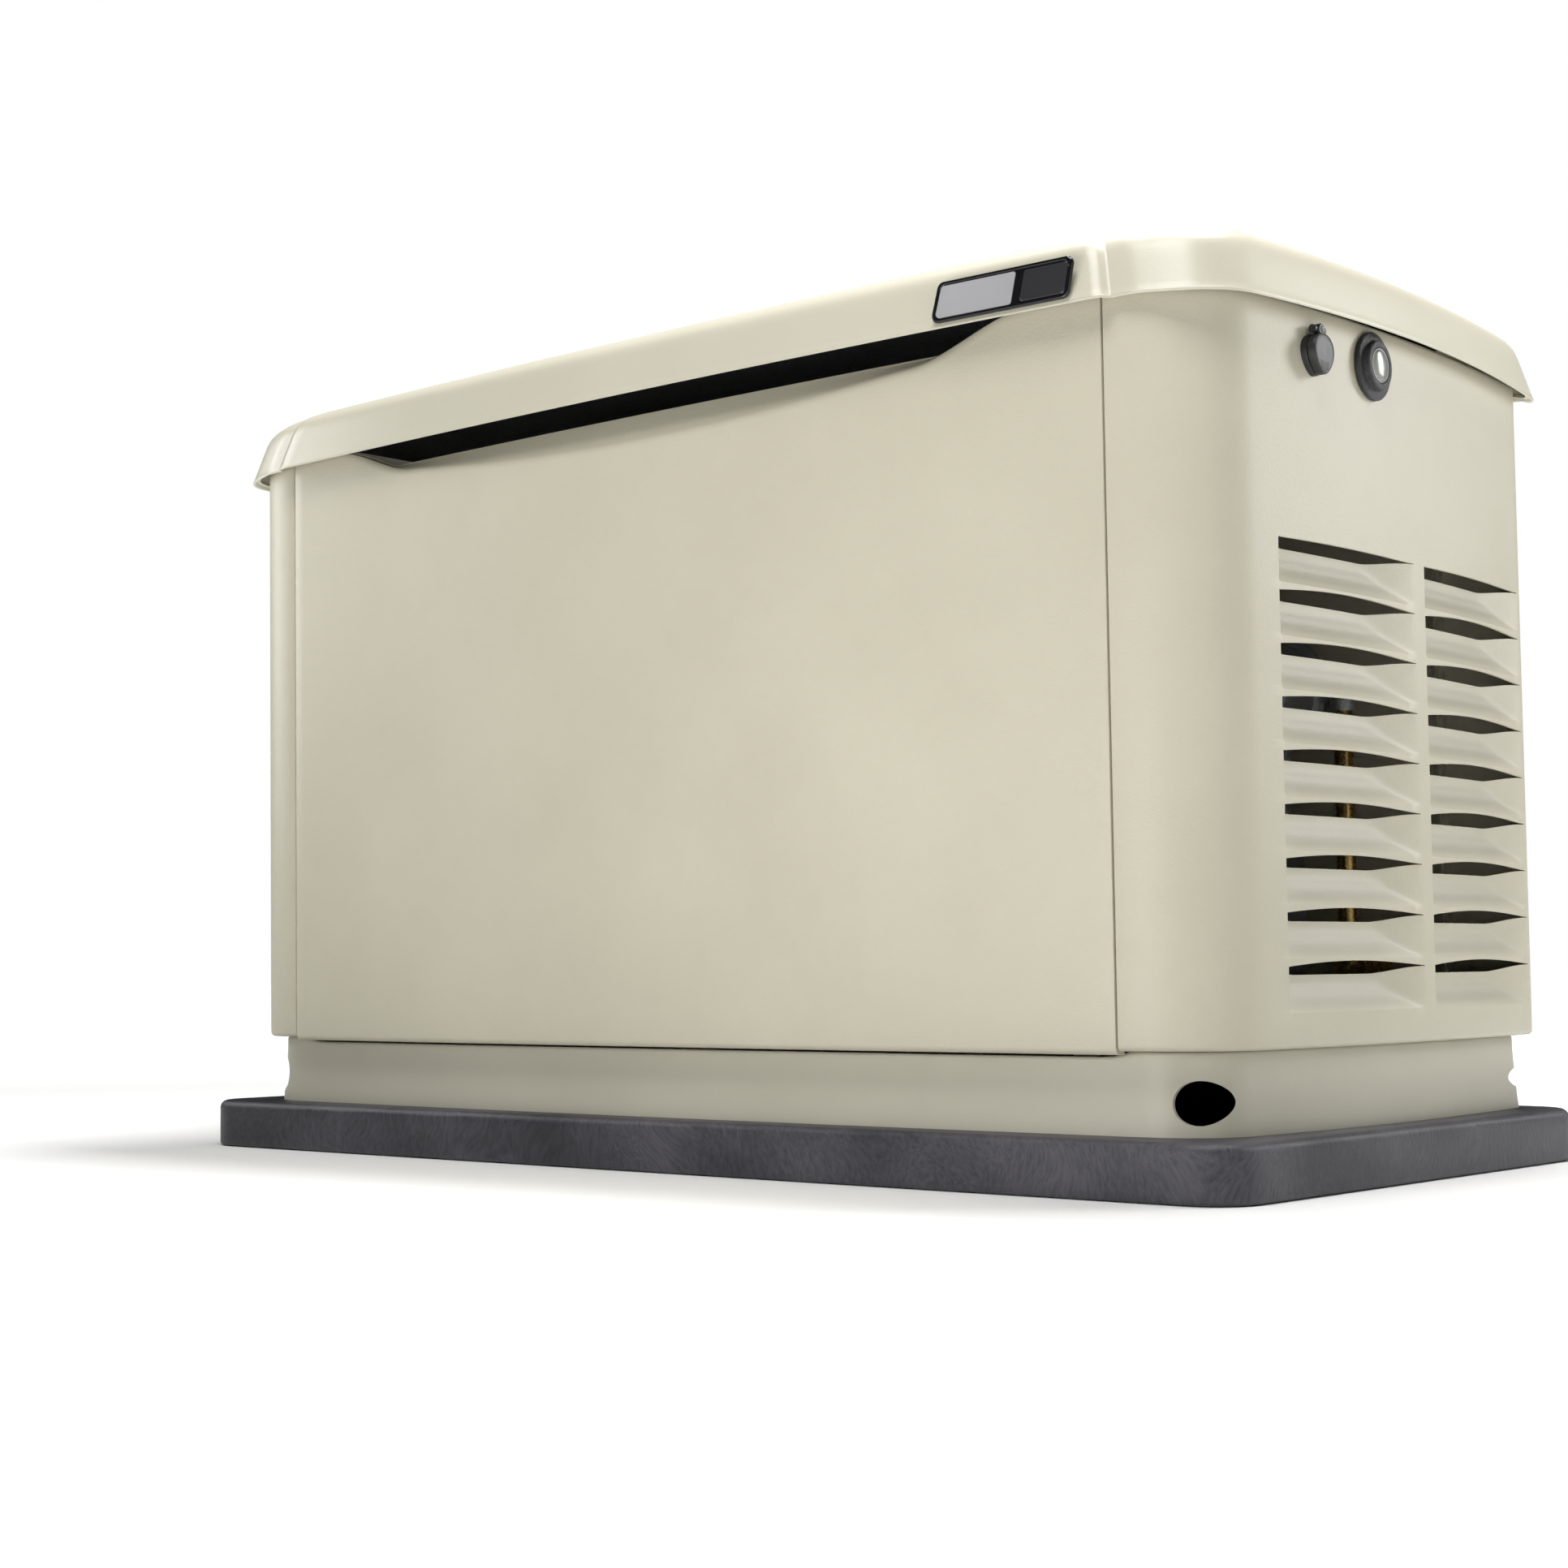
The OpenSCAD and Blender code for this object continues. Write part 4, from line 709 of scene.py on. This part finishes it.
def back_panel():
    """The flat back panel and the raised plate on it."""
    s = places(S_BACK_MID - SEAM_X, S_BACK_MID + SEAM_X)
    rows = rim_rows(SKIRT_TOP, -1)[::-1]
    rows += [(0.0, z) for z in np.linspace(SKIRT_TOP + 20 * MM, WALL_TOP - 20 * MM, 12)]
    rows += rim_rows(WALL_TOP, 1)
    inset = np.tile([r[0] for r in rows], (len(s), 1))
    z = np.tile([r[1] for r in rows], (len(s), 1))
    s, inset, z = folded_edges(s, inset, z)
    obj = clean(grid_object("back_panel_skin", wall_points(s, inset, z)))
    thicken(obj)
    cut(obj, *service_holes())
    smooth(obj)
    place(obj, "enclosure", MAT["wall_paint"], "bisque_paint", "back_panel")
    plate = service_plate()
    place(plate, "enclosure", MAT["wall_paint"], "bisque_paint")


SERVICE_X = (172 * MM, 468 * MM)
SERVICE_Z = (134 * MM, 224 * MM)
CONDUIT_X = SERVICE_X[0] + 45.4 * MM
CONDUIT_R = 17.5 * MM
FUEL_HOLE_R = 16.5 * MM
PLATE_Y = HALF_W + 3 * MM
FUEL_LO, FUEL_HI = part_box("fuel_inlet")


def service_holes():
    """The conduit hole and the fuel pipe's hole through the back."""
    z = (SERVICE_Z[0] + SERVICE_Z[1]) / 2
    fuel_x = (FUEL_LO.x + FUEL_HI.x) / 2
    return [rod("cutter", radius, (x, HALF_W - 80 * MM, z), (x, HALF_W + 30 * MM, z), 64)
            for x, radius in ((CONDUIT_X, CONDUIT_R), (fuel_x, FUEL_HOLE_R))]


def service_plate():
    """The flat raised plate on the back that the gas pipe and the wiring go through."""
    corners = [(SERVICE_X[0], SERVICE_Z[0]), (SERVICE_X[1], SERVICE_Z[0]),
               (SERVICE_X[1], SERVICE_Z[1]), (SERVICE_X[0], SERVICE_Z[1])]
    rings = []
    for inset, depth in ((0, 15), (0, 1.6), (0.5, 0.5), (1.6, 0)):
        flat = rounded(corners, inset * MM, 6 * MM)
        rings.append(np.stack([flat[:, 0], np.full(len(flat), PLATE_Y - depth * MM), flat[:, 1]], 1))
    obj = loft("service_plate", rings)
    cut(obj, *service_holes())
    return smooth(obj)


# ---------------------------------------------------------------- lid

# Share of the lid's height, and inset in millimetres
LID_PROFILE = [
    (0.05, 0.9), (0.12, 2.4), (0.25, 5.2), (0.4, 8.4), (0.52, 11.0), (0.60, 13.2), (0.66, 15.6),
    (0.72, 19.4), (0.78, 25.5), (0.84, 36.0), (0.89, 51.0), (0.93, 72.0), (0.965, 108.0),
    (0.99, 152.0), (1.0, 190.0)]
BAND_PROUD = 8 * MM
STEP_X = 503 * MM


LID_RIM = [(6.0, 4.2), (3.0, 3.2), (2.2, 1.2), (1.4, 0.2), (0.6, 0.0), (0.1, 0.6), (-0.1, 1.8)]
RIDGE_WIDE = 2.4 * MM
RIDGE_TALL = 1.6 * MM


def lid_surface():
    """The lid's skin, from its rolled rim over the shoulder to the crown."""
    close = np.linspace(STEP_X - 15 * MM, STEP_X + 15 * MM, 16)
    s = places(0, PERIMETER - 3 * MM, extra=np.concatenate([s_of_x(close), PERIMETER - s_of_x(close)]))
    point, normal = outline(s, LID_OVER_X, LID_OVER_Y)
    x, y = point[:, 0], point[:, 1]
    endward = np.abs(normal[:, 0])
    front = y < 0
    past_step = smoothstep(np.abs(x), STEP_X - 4.5 * MM, STEP_X + 4.5 * MM)
    back_off = np.where(front, BAND_PROUD * past_step * (1 - smoothstep(endward, 0.25, 0.95)), 0.0)
    from_ridge = (np.abs(x) - STEP_X + 6.5 * MM) / RIDGE_WIDE
    proud = np.where(front, RIDGE_TALL * np.exp(-from_ridge ** 2), 0.0) - back_off
    side = np.clip(np.abs(y) / HALF_W, 0, 1)
    drop = smoothstep(endward, 0.05, 0.85) * (np.where(front, 4, 6) * side ** 2 - 1) * MM
    height = LID_TOP - LIP_Z
    rows = [(inset, z * MM, 0.0) for inset, z in LID_RIM]
    rows += [(inset, h * height, h) for h, inset in LID_PROFILE]
    rings = []
    for inset, z, h in rows:
        ring, facing = outline(s, LID_OVER_X - inset * MM, LID_OVER_Y - inset * MM)
        fade = 1 - float(smoothstep(h, 0.70, 0.99))
        ring = ring + (proud * fade)[:, None] * facing
        rings.append(np.concatenate([ring, (LIP_Z + z - drop * (1 - h))[:, None]], 1))
    for share in (0.8, 0.55, 0.3, 0.1):
        rings.append(rings[len(rows) - 1] * np.array([share, share, 1.0]))
    return np.stack(rings, 1)


def lid():
    points = lid_surface()
    ni, nj = points.shape[:2]
    faces = grid_faces(ni, nj, closed=True)
    faces.append([i * nj + nj - 1 for i in range(ni)])
    obj = clean(mesh_object("lid_skin", points.reshape(-1, 3), faces))
    thicken(obj)
    smooth(obj, 40)
    return place(obj, "lid", MAT["lid_paint"], "bisque_paint", "lid", "lid_front_band")


# ---------------------------------------------------------------- base and pad

def base_tray():
    s = places(0, PERIMETER - 3 * MM)
    x = outline(s)[0][:, 0]
    seam_inset = HALF_L - TRAY_HI.x
    corner = smoothstep(np.abs(x), SEAM_X - 16 * MM, SEAM_X + 2 * MM)
    top = SKIRT_TOP - 0.6 * MM - (1 - corner) * 4.5 * MM
    low = PAD_HI.z
    rows = []
    for share in np.linspace(0, 1, 10):
        flare = 4.5 * MM * (1 - share) ** 1.5
        rows.append((seam_inset - flare + 0 * x, low + share * (top - 3 * MM - low)))
    rows.append((seam_inset + 0.4 * MM + 0 * x, top - 1.2 * MM))
    rows.append((seam_inset + 1.4 * MM + 0 * x, top - 0.2 * MM))
    rows.append((seam_inset + 9 * MM + 0 * x, top))
    inset = np.stack([r[0] for r in rows], 1)
    z = np.stack([r[1] for r in rows], 1)
    obj = clean(grid_object("base_skirt", wall_points(s, inset, z), closed=True))
    thicken(obj, 3 * MM)
    lift_x = HALF_L - 48 * MM
    lift_z = PAD_HI.z + 26.5 * MM
    cutters = [rod("cutter", 17.5 * MM, (side * lift_x, -1, lift_z), (side * lift_x, 1, lift_z), 64)
               for side in (-1, 1)]
    cut(obj, *cutters)
    smooth(obj, 35)
    place(obj, "enclosure", MAT["skirt_paint"], "bisque_paint", "base_tray")
    return obj


DECK_Z = 103 * MM


def deck():
    s = places(0, PERIMETER - 3 * MM)
    inset = HALF_L - TRAY_HI.x + 3.5 * MM
    point, normal = outline(s)
    ring = point - inset * normal
    z = DECK_Z
    verts = [(x, y, z - dz) for dz in (0, 3 * MM) for x, y in ring]
    n = len(ring)
    faces = [list(range(n)), list(range(2 * n - 1, n - 1, -1))]
    faces += [[i, (i + 1) % n, n + (i + 1) % n, n + i] for i in range(n)]
    obj = mesh_object("deck_plate", verts, faces)
    modify(obj, "BEVEL", width=0.8 * MM, segments=2, limit_method="ANGLE")
    bake(obj)
    clean(obj)
    smooth(obj)
    return place(obj, "enclosure", MAT["grey_steel"], "bisque_paint")


def pad():
    r, edge = 45 * MM, 8 * MM
    hx, hy, top = PAD_HI.x, PAD_HI.y, PAD_HI.z
    corner = np.radians(np.linspace(0, 90, 19))
    plan = []
    for cx, cy, start in ((1, 1, 0), (-1, 1, 90), (-1, -1, 180), (1, -1, 270)):
        a = corner + math.radians(start)
        plan += [(cx * (hx - r), cy * (hy - r), math.cos(t), math.sin(t)) for t in a]
    dense = []
    for a, b in zip(plan, plan[1:] + plan[:1]):
        gap = math.hypot(a[0] + r * a[2] - b[0] - r * b[2], a[1] + r * a[3] - b[1] - r * b[3])
        steps = max(1, int(gap / (25 * MM)))
        for k in range(steps):
            t = k / steps
            dense.append([a[i] + t * (b[i] - a[i]) for i in range(4)])
    dense = np.array(dense)
    rows = [(3 * MM, 0.0), (0.8 * MM, 0.9 * MM), (0.0, 3 * MM)]
    rows += [(0.0, z) for z in np.linspace(8 * MM, top - edge, 5)]
    rows += [(edge * (1 - math.cos(math.radians(a))), top - edge * (1 - math.sin(math.radians(a))))
             for a in (18, 36, 54, 72, 90)]
    rows += [(edge + d, top) for d in (6 * MM, 15 * MM, 30 * MM)]
    rng = np.random.default_rng(7)
    wave = np.zeros(len(dense))
    angle = np.linspace(0, 2 * math.pi, len(dense), endpoint=False)
    for k in (5, 9, 14, 23):
        wave += rng.uniform(0.15, 0.35) * np.sin(k * angle + rng.uniform(0, 6))
    points = []
    for inset, z in rows:
        off = inset + 0.4 * MM * np.clip(wave, -1, 1) ** 2
        xy = dense[:, :2] + (r - off)[:, None] * dense[:, 2:]
        points.append(np.concatenate([xy, np.full((len(dense), 1), z)], 1))
    grid = np.stack(points, 1)
    ni, nj = grid.shape[:2]
    faces = grid_faces(ni, nj, closed=True)
    faces.append([i * nj + nj - 1 for i in range(ni)])
    faces.append([i * nj for i in range(ni)][::-1])
    obj = clean(mesh_object("pad_body", grid.reshape(-1, 3), faces))
    smooth(obj, 50)
    return place(obj, "enclosure", MAT["pad"], "pad_composite", "mounting_pad")


# ---------------------------------------------------------------- CAD nodes with softened edges

def body_of(name):
    return frame["nodes"][name].parent.name.split(":")[1]


def soften(name, width):
    """A copy of a CAD node with its edges rounded, shown in its place."""
    obj = bpy.data.objects.new(name + "_finished", frame["nodes"][name].data.copy())
    bpy.context.scene.collection.objects.link(obj)
    bm = bmesh.new()
    bm.from_mesh(obj.data)
    bmesh.ops.remove_doubles(bm, verts=bm.verts, dist=0.01 * MM)
    bmesh.ops.dissolve_limit(bm, angle_limit=math.radians(1.2), verts=bm.verts, edges=bm.edges)
    bm.to_mesh(obj.data)
    bm.free()
    modify(obj, "BEVEL", width=width, segments=2, limit_method="ANGLE", angle_limit=math.radians(35))
    bake(obj)
    smooth(obj, 38)
    return place(obj, body_of(name), MAT[NODE_LOOKS[name]], SLOT_OF[name], name)


# ---------------------------------------------------------------- turned and lofted pieces

def loft(name, rings, caps=(True, True)):
    """A skin over rings of points that all have the same count."""
    grid = np.stack(rings, 1)
    ni, nj = grid.shape[:2]
    faces = grid_faces(ni, nj, closed=True)
    if caps[0]:
        faces.append([i * nj for i in range(ni)][::-1])
    if caps[1]:
        faces.append([i * nj + nj - 1 for i in range(ni)])
    return clean(mesh_object(name, grid.reshape(-1, 3), faces))


EGG_STEPS = 64
EGG_HALF_W = 17 * MM
EGG_TOP = 14 * MM
EGG_FOOT = 20 * MM
EGG_Z = LOCK_Z - 2.5 * MM


def egg_ring(x, scale=1.0):
    """The lock's outline at x: round above, and drawn in to a blunt foot below."""
    a = np.linspace(0, 2 * math.pi, EGG_STEPS, endpoint=False)
    up = np.cos(a)
    narrow = np.where(up > 0, 1, 1 - 0.34 * up ** 2)
    y = np.sign(np.sin(a)) * np.abs(np.sin(a)) ** 0.85 * EGG_HALF_W * narrow
    z = np.where(up > 0, EGG_TOP, EGG_FOOT) * up
    return np.stack([np.full(EGG_STEPS, x), LOCK_Y + scale * y, EGG_Z + scale * z], 1)


def round_ring(x, radius):
    a = np.linspace(0, 2 * math.pi, EGG_STEPS, endpoint=False)
    y, z = LOCK_Y + radius * np.sin(a), LOCK_Z + radius * np.cos(a)
    return np.stack([np.full(EGG_STEPS, x), y, z], 1)


def joined(name, *objs):
    """Several finished meshes as one piece."""
    bm = bmesh.new()
    for obj in objs:
        bm.from_mesh(obj.data)
    mesh = bpy.data.meshes.new(name)
    bm.to_mesh(mesh)
    bm.free()
    made = bpy.data.objects.new(name, mesh)
    bpy.context.scene.collection.objects.link(made)
    for obj in objs:
        bpy.data.objects.remove(obj)
    return made


def lock_body():
    """The lock's thick oval body, with a round well for the barrel and ears for the cover's pin."""
    foot = COVER_LO.x - 7.5 * MM
    top = COVER_LO.x - 0.3 * MM
    rings = [egg_ring(foot, 0.97), egg_ring(foot, 1.0), egg_ring(top - 1.2 * MM, 1.0),
             egg_ring(top - 0.4 * MM, 0.985), egg_ring(top, 0.95),
             round_ring(top, 12.2 * MM), round_ring(top - 0.5 * MM, 11.6 * MM),
             round_ring(foot, 11.4 * MM)]
    body = loft("lock_body", rings, caps=(False, False))
    parts = [body]
    pivot_z = COVER_HI.z - 5 * MM
    for side in (-1, 1):
        y0 = LOCK_Y + side * 5.8 * MM
        parts.append(rod("ear", 3.4 * MM, (COVER_LO.x + 0.6 * MM, y0, pivot_z),
                         (COVER_LO.x + 0.6 * MM, y0 + side * 3 * MM, pivot_z), 32))
    return joined("lock_body_right", *parts)


def lock_cover():
    """The lock's flip cover: a thin oval lid with a pin boss above and a dotted thumb grip below."""
    back, face = COVER_LO.x, COVER_HI.x
    rings = [egg_ring(back, 0.95), egg_ring(back + 0.4 * MM, 0.98), egg_ring(face - 2.2 * MM, 0.985),
             egg_ring(face - 1.4 * MM, 0.96), egg_ring(face - 1.0 * MM, 0.91),
             egg_ring(face - 1.3 * MM, 0.87),
             egg_ring(face - 1.2 * MM, 0.6), egg_ring(face - 0.8 * MM, 0.25)]
    parts = [loft("cover", rings)]
    boss_z = COVER_HI.z - 5.2 * MM
    boss = [(0, 0), (5.0, 0), (5.0, 4.2), (4.4, 5.0), (2.6, 5.0), (2.4, 4.2), (0, 4.2)]
    boss = [(radius * MM, height * MM) for radius, height in boss]
    parts.append(lathe("boss", boss, (back, LOCK_Y, boss_z), (1, 0, 0), 40))
    for row in range(6):
        z = EGG_Z - EGG_FOOT + (3.2 + 1.5 * row) * MM
        count = 6 + row // 2
        for k in range(count):
            y = LOCK_Y + (k - (count - 1) / 2) * 1.9 * MM
            parts.append(lathe("dot", [(0, 0), (0.7 * MM, 0), (0.55 * MM, 0.45 * MM), (0, 0.65 * MM)],
                               (face - 1.5 * MM, y, z), (1, 0, 0), 8))
    return joined("lock_cover_right", *parts)


def lock_screw():
    profile = [(0, 0), (2.2, 0), (2.2, 0.7), (1.7, 1.1), (0.9, 1.1), (0.8, 0.3), (0, 0.3)]
    profile = [(radius * MM, height * MM) for radius, height in profile]
    return lathe("lock_screw_right", profile,
                 (COVER_LO.x + 4.3 * MM, LOCK_Y, COVER_HI.z - 5.2 * MM), (1, 0, 0), 24)


def make_locks():
    body = smooth(lock_body(), 35)
    pair = joined("lock_bodies", body, mirrored(body, "lock_body_left"))
    place(pair, "enclosure", MAT["black_plastic"], "black_plastic", "lock_housings")
    smooth(pair, 35)
    cover, screw = smooth(lock_cover(), 35), smooth(lock_screw(), 35)
    for side in ("right", "left"):
        shown = cover if side == "right" else mirrored(cover, "lock_cover_left")
        head = screw if side == "right" else mirrored(screw, "lock_screw_left")
        place(shown, side + "_lock_cover", MAT["black_plastic"], "black_plastic", side + "_lock_cover")
        place(head, side + "_lock_cover", MAT["black_paint"], "black_plastic")
        smooth(shown, 35)
        smooth(head, 35)


def make_indicator():
    """The round status light: a stepped black bezel, a pale ring and a frosted lens."""
    face = LENS_HI.x - 12 * MM
    start = (face, LENS_Y, LOCK_Z)
    bezel = [(14.4, -9), (16.4, -9), (16.4, 0.6), (28.2, 0.6), (29, 1.4), (29, 3.4), (28.4, 4.3),
             (27.2, 4.8), (22.8, 5.0), (21.5, 5.5), (21.0, 6.5), (20.9, 8.6), (20.3, 9.5), (19.2, 9.95),
             (16.2, 10.0), (15.2, 9.6), (14.4, 8.6)]
    ring = [(13.35, 6), (14.3, 6), (14.3, 9.3), (14.05, 9.7), (13.6, 9.7), (13.35, 9.4)]
    lens = [(0, -9), (13.25, -9), (13.25, 9.0), (12.9, 9.9), (12.1, 10.4), (9.5, 11.0), (5.5, 11.5),
            (0, 11.8)]

    def turned(name, profile):
        return smooth(lathe(name, [(r * MM, h * MM) for r, h in profile], start, (1, 0, 0), 96), 38)

    outer = turned("indicator_bezel_ring", bezel)
    place(outer, "enclosure", MAT["rough_black"], "black_plastic", "indicator_bezel")
    place(turned("indicator_pale_ring", ring), "enclosure", MAT["badge_grey"], "clear_lens")
    place(turned("indicator_dome", lens), "enclosure", MAT["lens"], "clear_lens", "indicator_lens")


# ---------------------------------------------------------------- badge

BADGE_W = 136 * MM
BADGE_H = 34 * MM
BADGE_SLANT = 8 * MM
BADGE_SPLIT = 0.62


def rounded(corners, inset, radius, steps=8):
    """A polygon's outline, moved inward and with its corners rounded."""
    pts = np.array(corners, float)
    nxt, prv = np.roll(pts, -1, 0), np.roll(pts, 1, 0)
    out = []
    for p, a, b in zip(pts, prv, nxt):
        d1, d2 = (a - p) / np.linalg.norm(a - p), (b - p) / np.linalg.norm(b - p)
        half = math.acos(np.clip(d1 @ d2, -1, 1)) / 2
        middle = (d1 + d2) / np.linalg.norm(d1 + d2)
        corner = p + middle * inset / math.sin(half)
        centre = corner + middle * radius / math.sin(half)
        reach = radius / math.tan(half)
        first, last = corner + d1 * reach - centre, corner + d2 * reach - centre
        a0, a1 = math.atan2(first[1], first[0]), math.atan2(last[1], last[0])
        sweep = (a1 - a0 + math.pi) % (2 * math.pi) - math.pi
        for k in range(steps + 1):
            t = a0 + sweep * k / steps
            out.append(centre + radius * np.array([math.cos(t), math.sin(t)]))
    return np.array(out)


def badge_place():
    lo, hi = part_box("badge_frame")
    x = (lo.x + hi.x) / 2
    turn = math.asin(x / FRONT_R)
    lean = math.atan(2 / 38.9)
    y = -(HALF_W + LID_OVER_Y - x * x / (2 * FRONT_R)) - 0.4 * MM
    return (Matrix.Translation((x, y, LIP_Z + 4 * MM)) @ Matrix.Rotation(turn, 4, "Z")
            @ Matrix.Rotation(math.pi / 2 - lean, 4, "X"))


def badge_piece(name, corners, rows, radius):
    """A flat piece of the badge: rows are (inset, height) from its back to its face."""
    place_at = np.array(badge_place())
    rings = []
    for inset, height in rows:
        flat = rounded(corners, inset * MM, radius * MM)
        flat = np.concatenate([flat, np.full((len(flat), 1), height * MM), np.ones((len(flat), 1))], 1)
        rings.append((flat @ place_at.T)[:, :3])
    return smooth(loft(name, rings), 35)


def make_badge():
    """A slanted black frame with a pale pane and a dark pane. It carries no lettering."""
    half = BADGE_W / 2
    whole = [(-half, 0), (half - 0.7 * BADGE_SLANT, 0), (half, BADGE_H), (-half + BADGE_SLANT, BADGE_H)]
    split_low = -half + BADGE_SPLIT * BADGE_W - BADGE_SLANT / 2
    split_high = split_low + 0.8 * BADGE_SLANT
    left = [whole[0], (split_low, 0), (split_high, BADGE_H), whole[3]]
    right = [(split_low, 0), whole[1], whole[2], (split_high, BADGE_H)]
    frame_rows = [(0, 0), (0, 1.7), (0.5, 2.5), (1.3, 2.9), (2.3, 2.9), (3.0, 2.4), (3.2, 1.5)]
    pane_rows = [(4.2, 0.6), (4.2, 1.9), (4.6, 2.3), (6.0, 2.45)]
    surround = badge_piece("badge_surround", whole, frame_rows, 6)
    place(surround, "lid", MAT["gloss_black"], "gloss_black", "badge_frame")
    place(badge_piece("badge_pale_pane", left, [(i - 0.6, h) for i, h in pane_rows], 2.5),
          "lid", MAT["badge_grey"], "badge_grey", "badge_panes")
    place(badge_piece("badge_dark_pane", right, pane_rows, 2.5), "lid", MAT["badge_dark"], "badge_grey")


# ---------------------------------------------------------------- stage, lights and camera

SKY_LIGHT = 0.04


def make_stage():
    """A pale floor that goes over into plain white further out, under a white sky."""
    rings = [0, 1.5, 3, 6, 12, 30]
    angle = np.linspace(0, 2 * math.pi, 64, endpoint=False)
    points = np.stack([np.outer(np.cos(angle), rings), np.outer(np.sin(angle), rings),
                       np.full((64, len(rings)), -0.5 * MM)], -1)
    floor = clean(grid_object("floor", points, closed=True))
    material, nodes, links, shader = new_material("floor_pale")
    shader.inputs["Base Color"].default_value = (0.82, 0.82, 0.81, 1)
    shader.inputs["Roughness"].default_value = 0.85
    coords = nodes.new("ShaderNodeTexCoord")
    length = nodes.new("ShaderNodeVectorMath")
    length.operation = "LENGTH"
    links.new(coords.outputs["Object"], length.inputs[0])
    fade = nodes.new("ShaderNodeMapRange")
    fade.interpolation_type = "SMOOTHSTEP"
    fade.inputs["From Min"].default_value = 1.2
    fade.inputs["From Max"].default_value = 3.4
    links.new(length.outputs["Value"], fade.inputs["Value"])
    shader.inputs["Emission Color"].default_value = (1, 1, 1, 1)
    links.new(fade.outputs["Result"], shader.inputs["Emission Strength"])
    floor.data.materials.append(material)
    world = bpy.data.worlds.new("studio")
    bpy.context.scene.world = world
    world.use_nodes = True
    nodes, links = world.node_tree.nodes, world.node_tree.links
    background = nodes["Background"]
    background.inputs["Color"].default_value = (1, 1, 1, 1)
    rays = nodes.new("ShaderNodeLightPath")
    level = nodes.new("ShaderNodeMapRange")
    level.inputs["To Min"].default_value = SKY_LIGHT
    level.inputs["To Max"].default_value = 1.0
    links.new(rays.outputs["Is Camera Ray"], level.inputs["Value"])
    links.new(level.outputs["Result"], background.inputs["Strength"])


def area_light(name, at, target, size, power):
    light = bpy.data.lights.new(name, "AREA")
    light.shape = "RECTANGLE"
    light.size, light.size_y = size
    light.energy = power
    obj = bpy.data.objects.new(name, light)
    bpy.context.scene.collection.objects.link(obj)
    obj.location = at
    obj.rotation_euler = (Vector(target) - Vector(at)).to_track_quat("-Z", "Y").to_euler()
    obj.visible_camera = False


def make_lights():
    area_light("overhead", (0.7, -1.25, 2.6), (0.35, -0.2, 0.5), (1.3, 0.8), 40)
    area_light("top_back", (0.2, 0.6, 3.0), (0.1, 0.1, 0.6), (1.6, 1.0), 125)
    area_light("side_far", (2.2, 2.4, 1.5), (0.6, 0.2, 0.4), (0.8, 1.4), 40)
    area_light("grazing", (3.2, -1.15, 1.1), (0.3, -0.3, 0.4), (0.6, 0.9), 6)
    area_light("edge", (-1.5, -0.55, 0.9), (-0.6, -0.3, 0.5), (0.3, 0.9), 7.5)
    area_light("low_fill", (0.35, -1.1, 0.25), (0.3, -0.3, 0.3), (0.5, 0.3), 2.4)


def make_camera():
    """Stands low in front of the intake end's corner and looks slightly up."""
    yaw, pitch, roll = 0.758, 0.059, -0.0093
    reach = math.cos(pitch)
    forward = Vector((-math.sin(yaw) * reach, math.cos(yaw) * reach, math.sin(pitch)))
    level = forward.cross(Vector((0, 0, 1))).normalized()
    over = level.cross(forward)
    right = math.cos(roll) * level + math.sin(roll) * over
    up = math.cos(roll) * over - math.sin(roll) * level
    camera = bpy.data.cameras.new("camera")
    obj = bpy.data.objects.new("camera", camera)
    bpy.context.scene.collection.objects.link(obj)
    turn = Matrix((right, up, -forward)).transposed().to_4x4()
    obj.matrix_world = Matrix.Translation((1.6065, -2.0751, 0.1844)) @ turn
    camera.sensor_width = 36
    camera.lens = 60.30
    camera.shift_x = 0.1307
    camera.shift_y = 0.0174
    camera.clip_start = 0.05
    camera.clip_end = 100
    bpy.context.scene.camera = obj


# Edge rounding in millimetres
USUAL_ROUNDING = 0.8
KEEP_SHARP = {
    "hinge_pins": 0.3, "panel_screws": 0.5, "hinge_fixed_leaves": 0.4, "hinge_moving_leaves": 0.4}
SOFTER = {
    "lid_foam": 4.0, "battery": 1.6, "crankcase": 2.0, "cylinder_heads": 1.0, "rocker_covers": 2.4,
    "air_cleaner_cover": 3.0, "air_cleaner_base": 1.6, "control_housing": 2.0, "muffler": 1.6,
    "blower_housing": 1.6, "rubber_mounts": 1.4}


def finish_inside():
    """Every node that has no piece of its own is shown with softened edges."""
    taken = set()
    for obj in bpy.data.objects:
        taken.update(obj.get("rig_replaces", []))
    for name in sorted(frame["nodes"]):
        if name not in taken:
            soften(name, KEEP_SHARP.get(name, SOFTER.get(name, USUAL_ROUNDING)) * MM)


make_camera()
make_stage()
make_lights()
make_end_panels()
front_panel()
back_panel()
lid()
base_tray()
deck()
pad()
make_locks()
make_indicator()
make_badge()
finish_inside()

bpy.context.scene.view_settings.view_transform = "Standard"
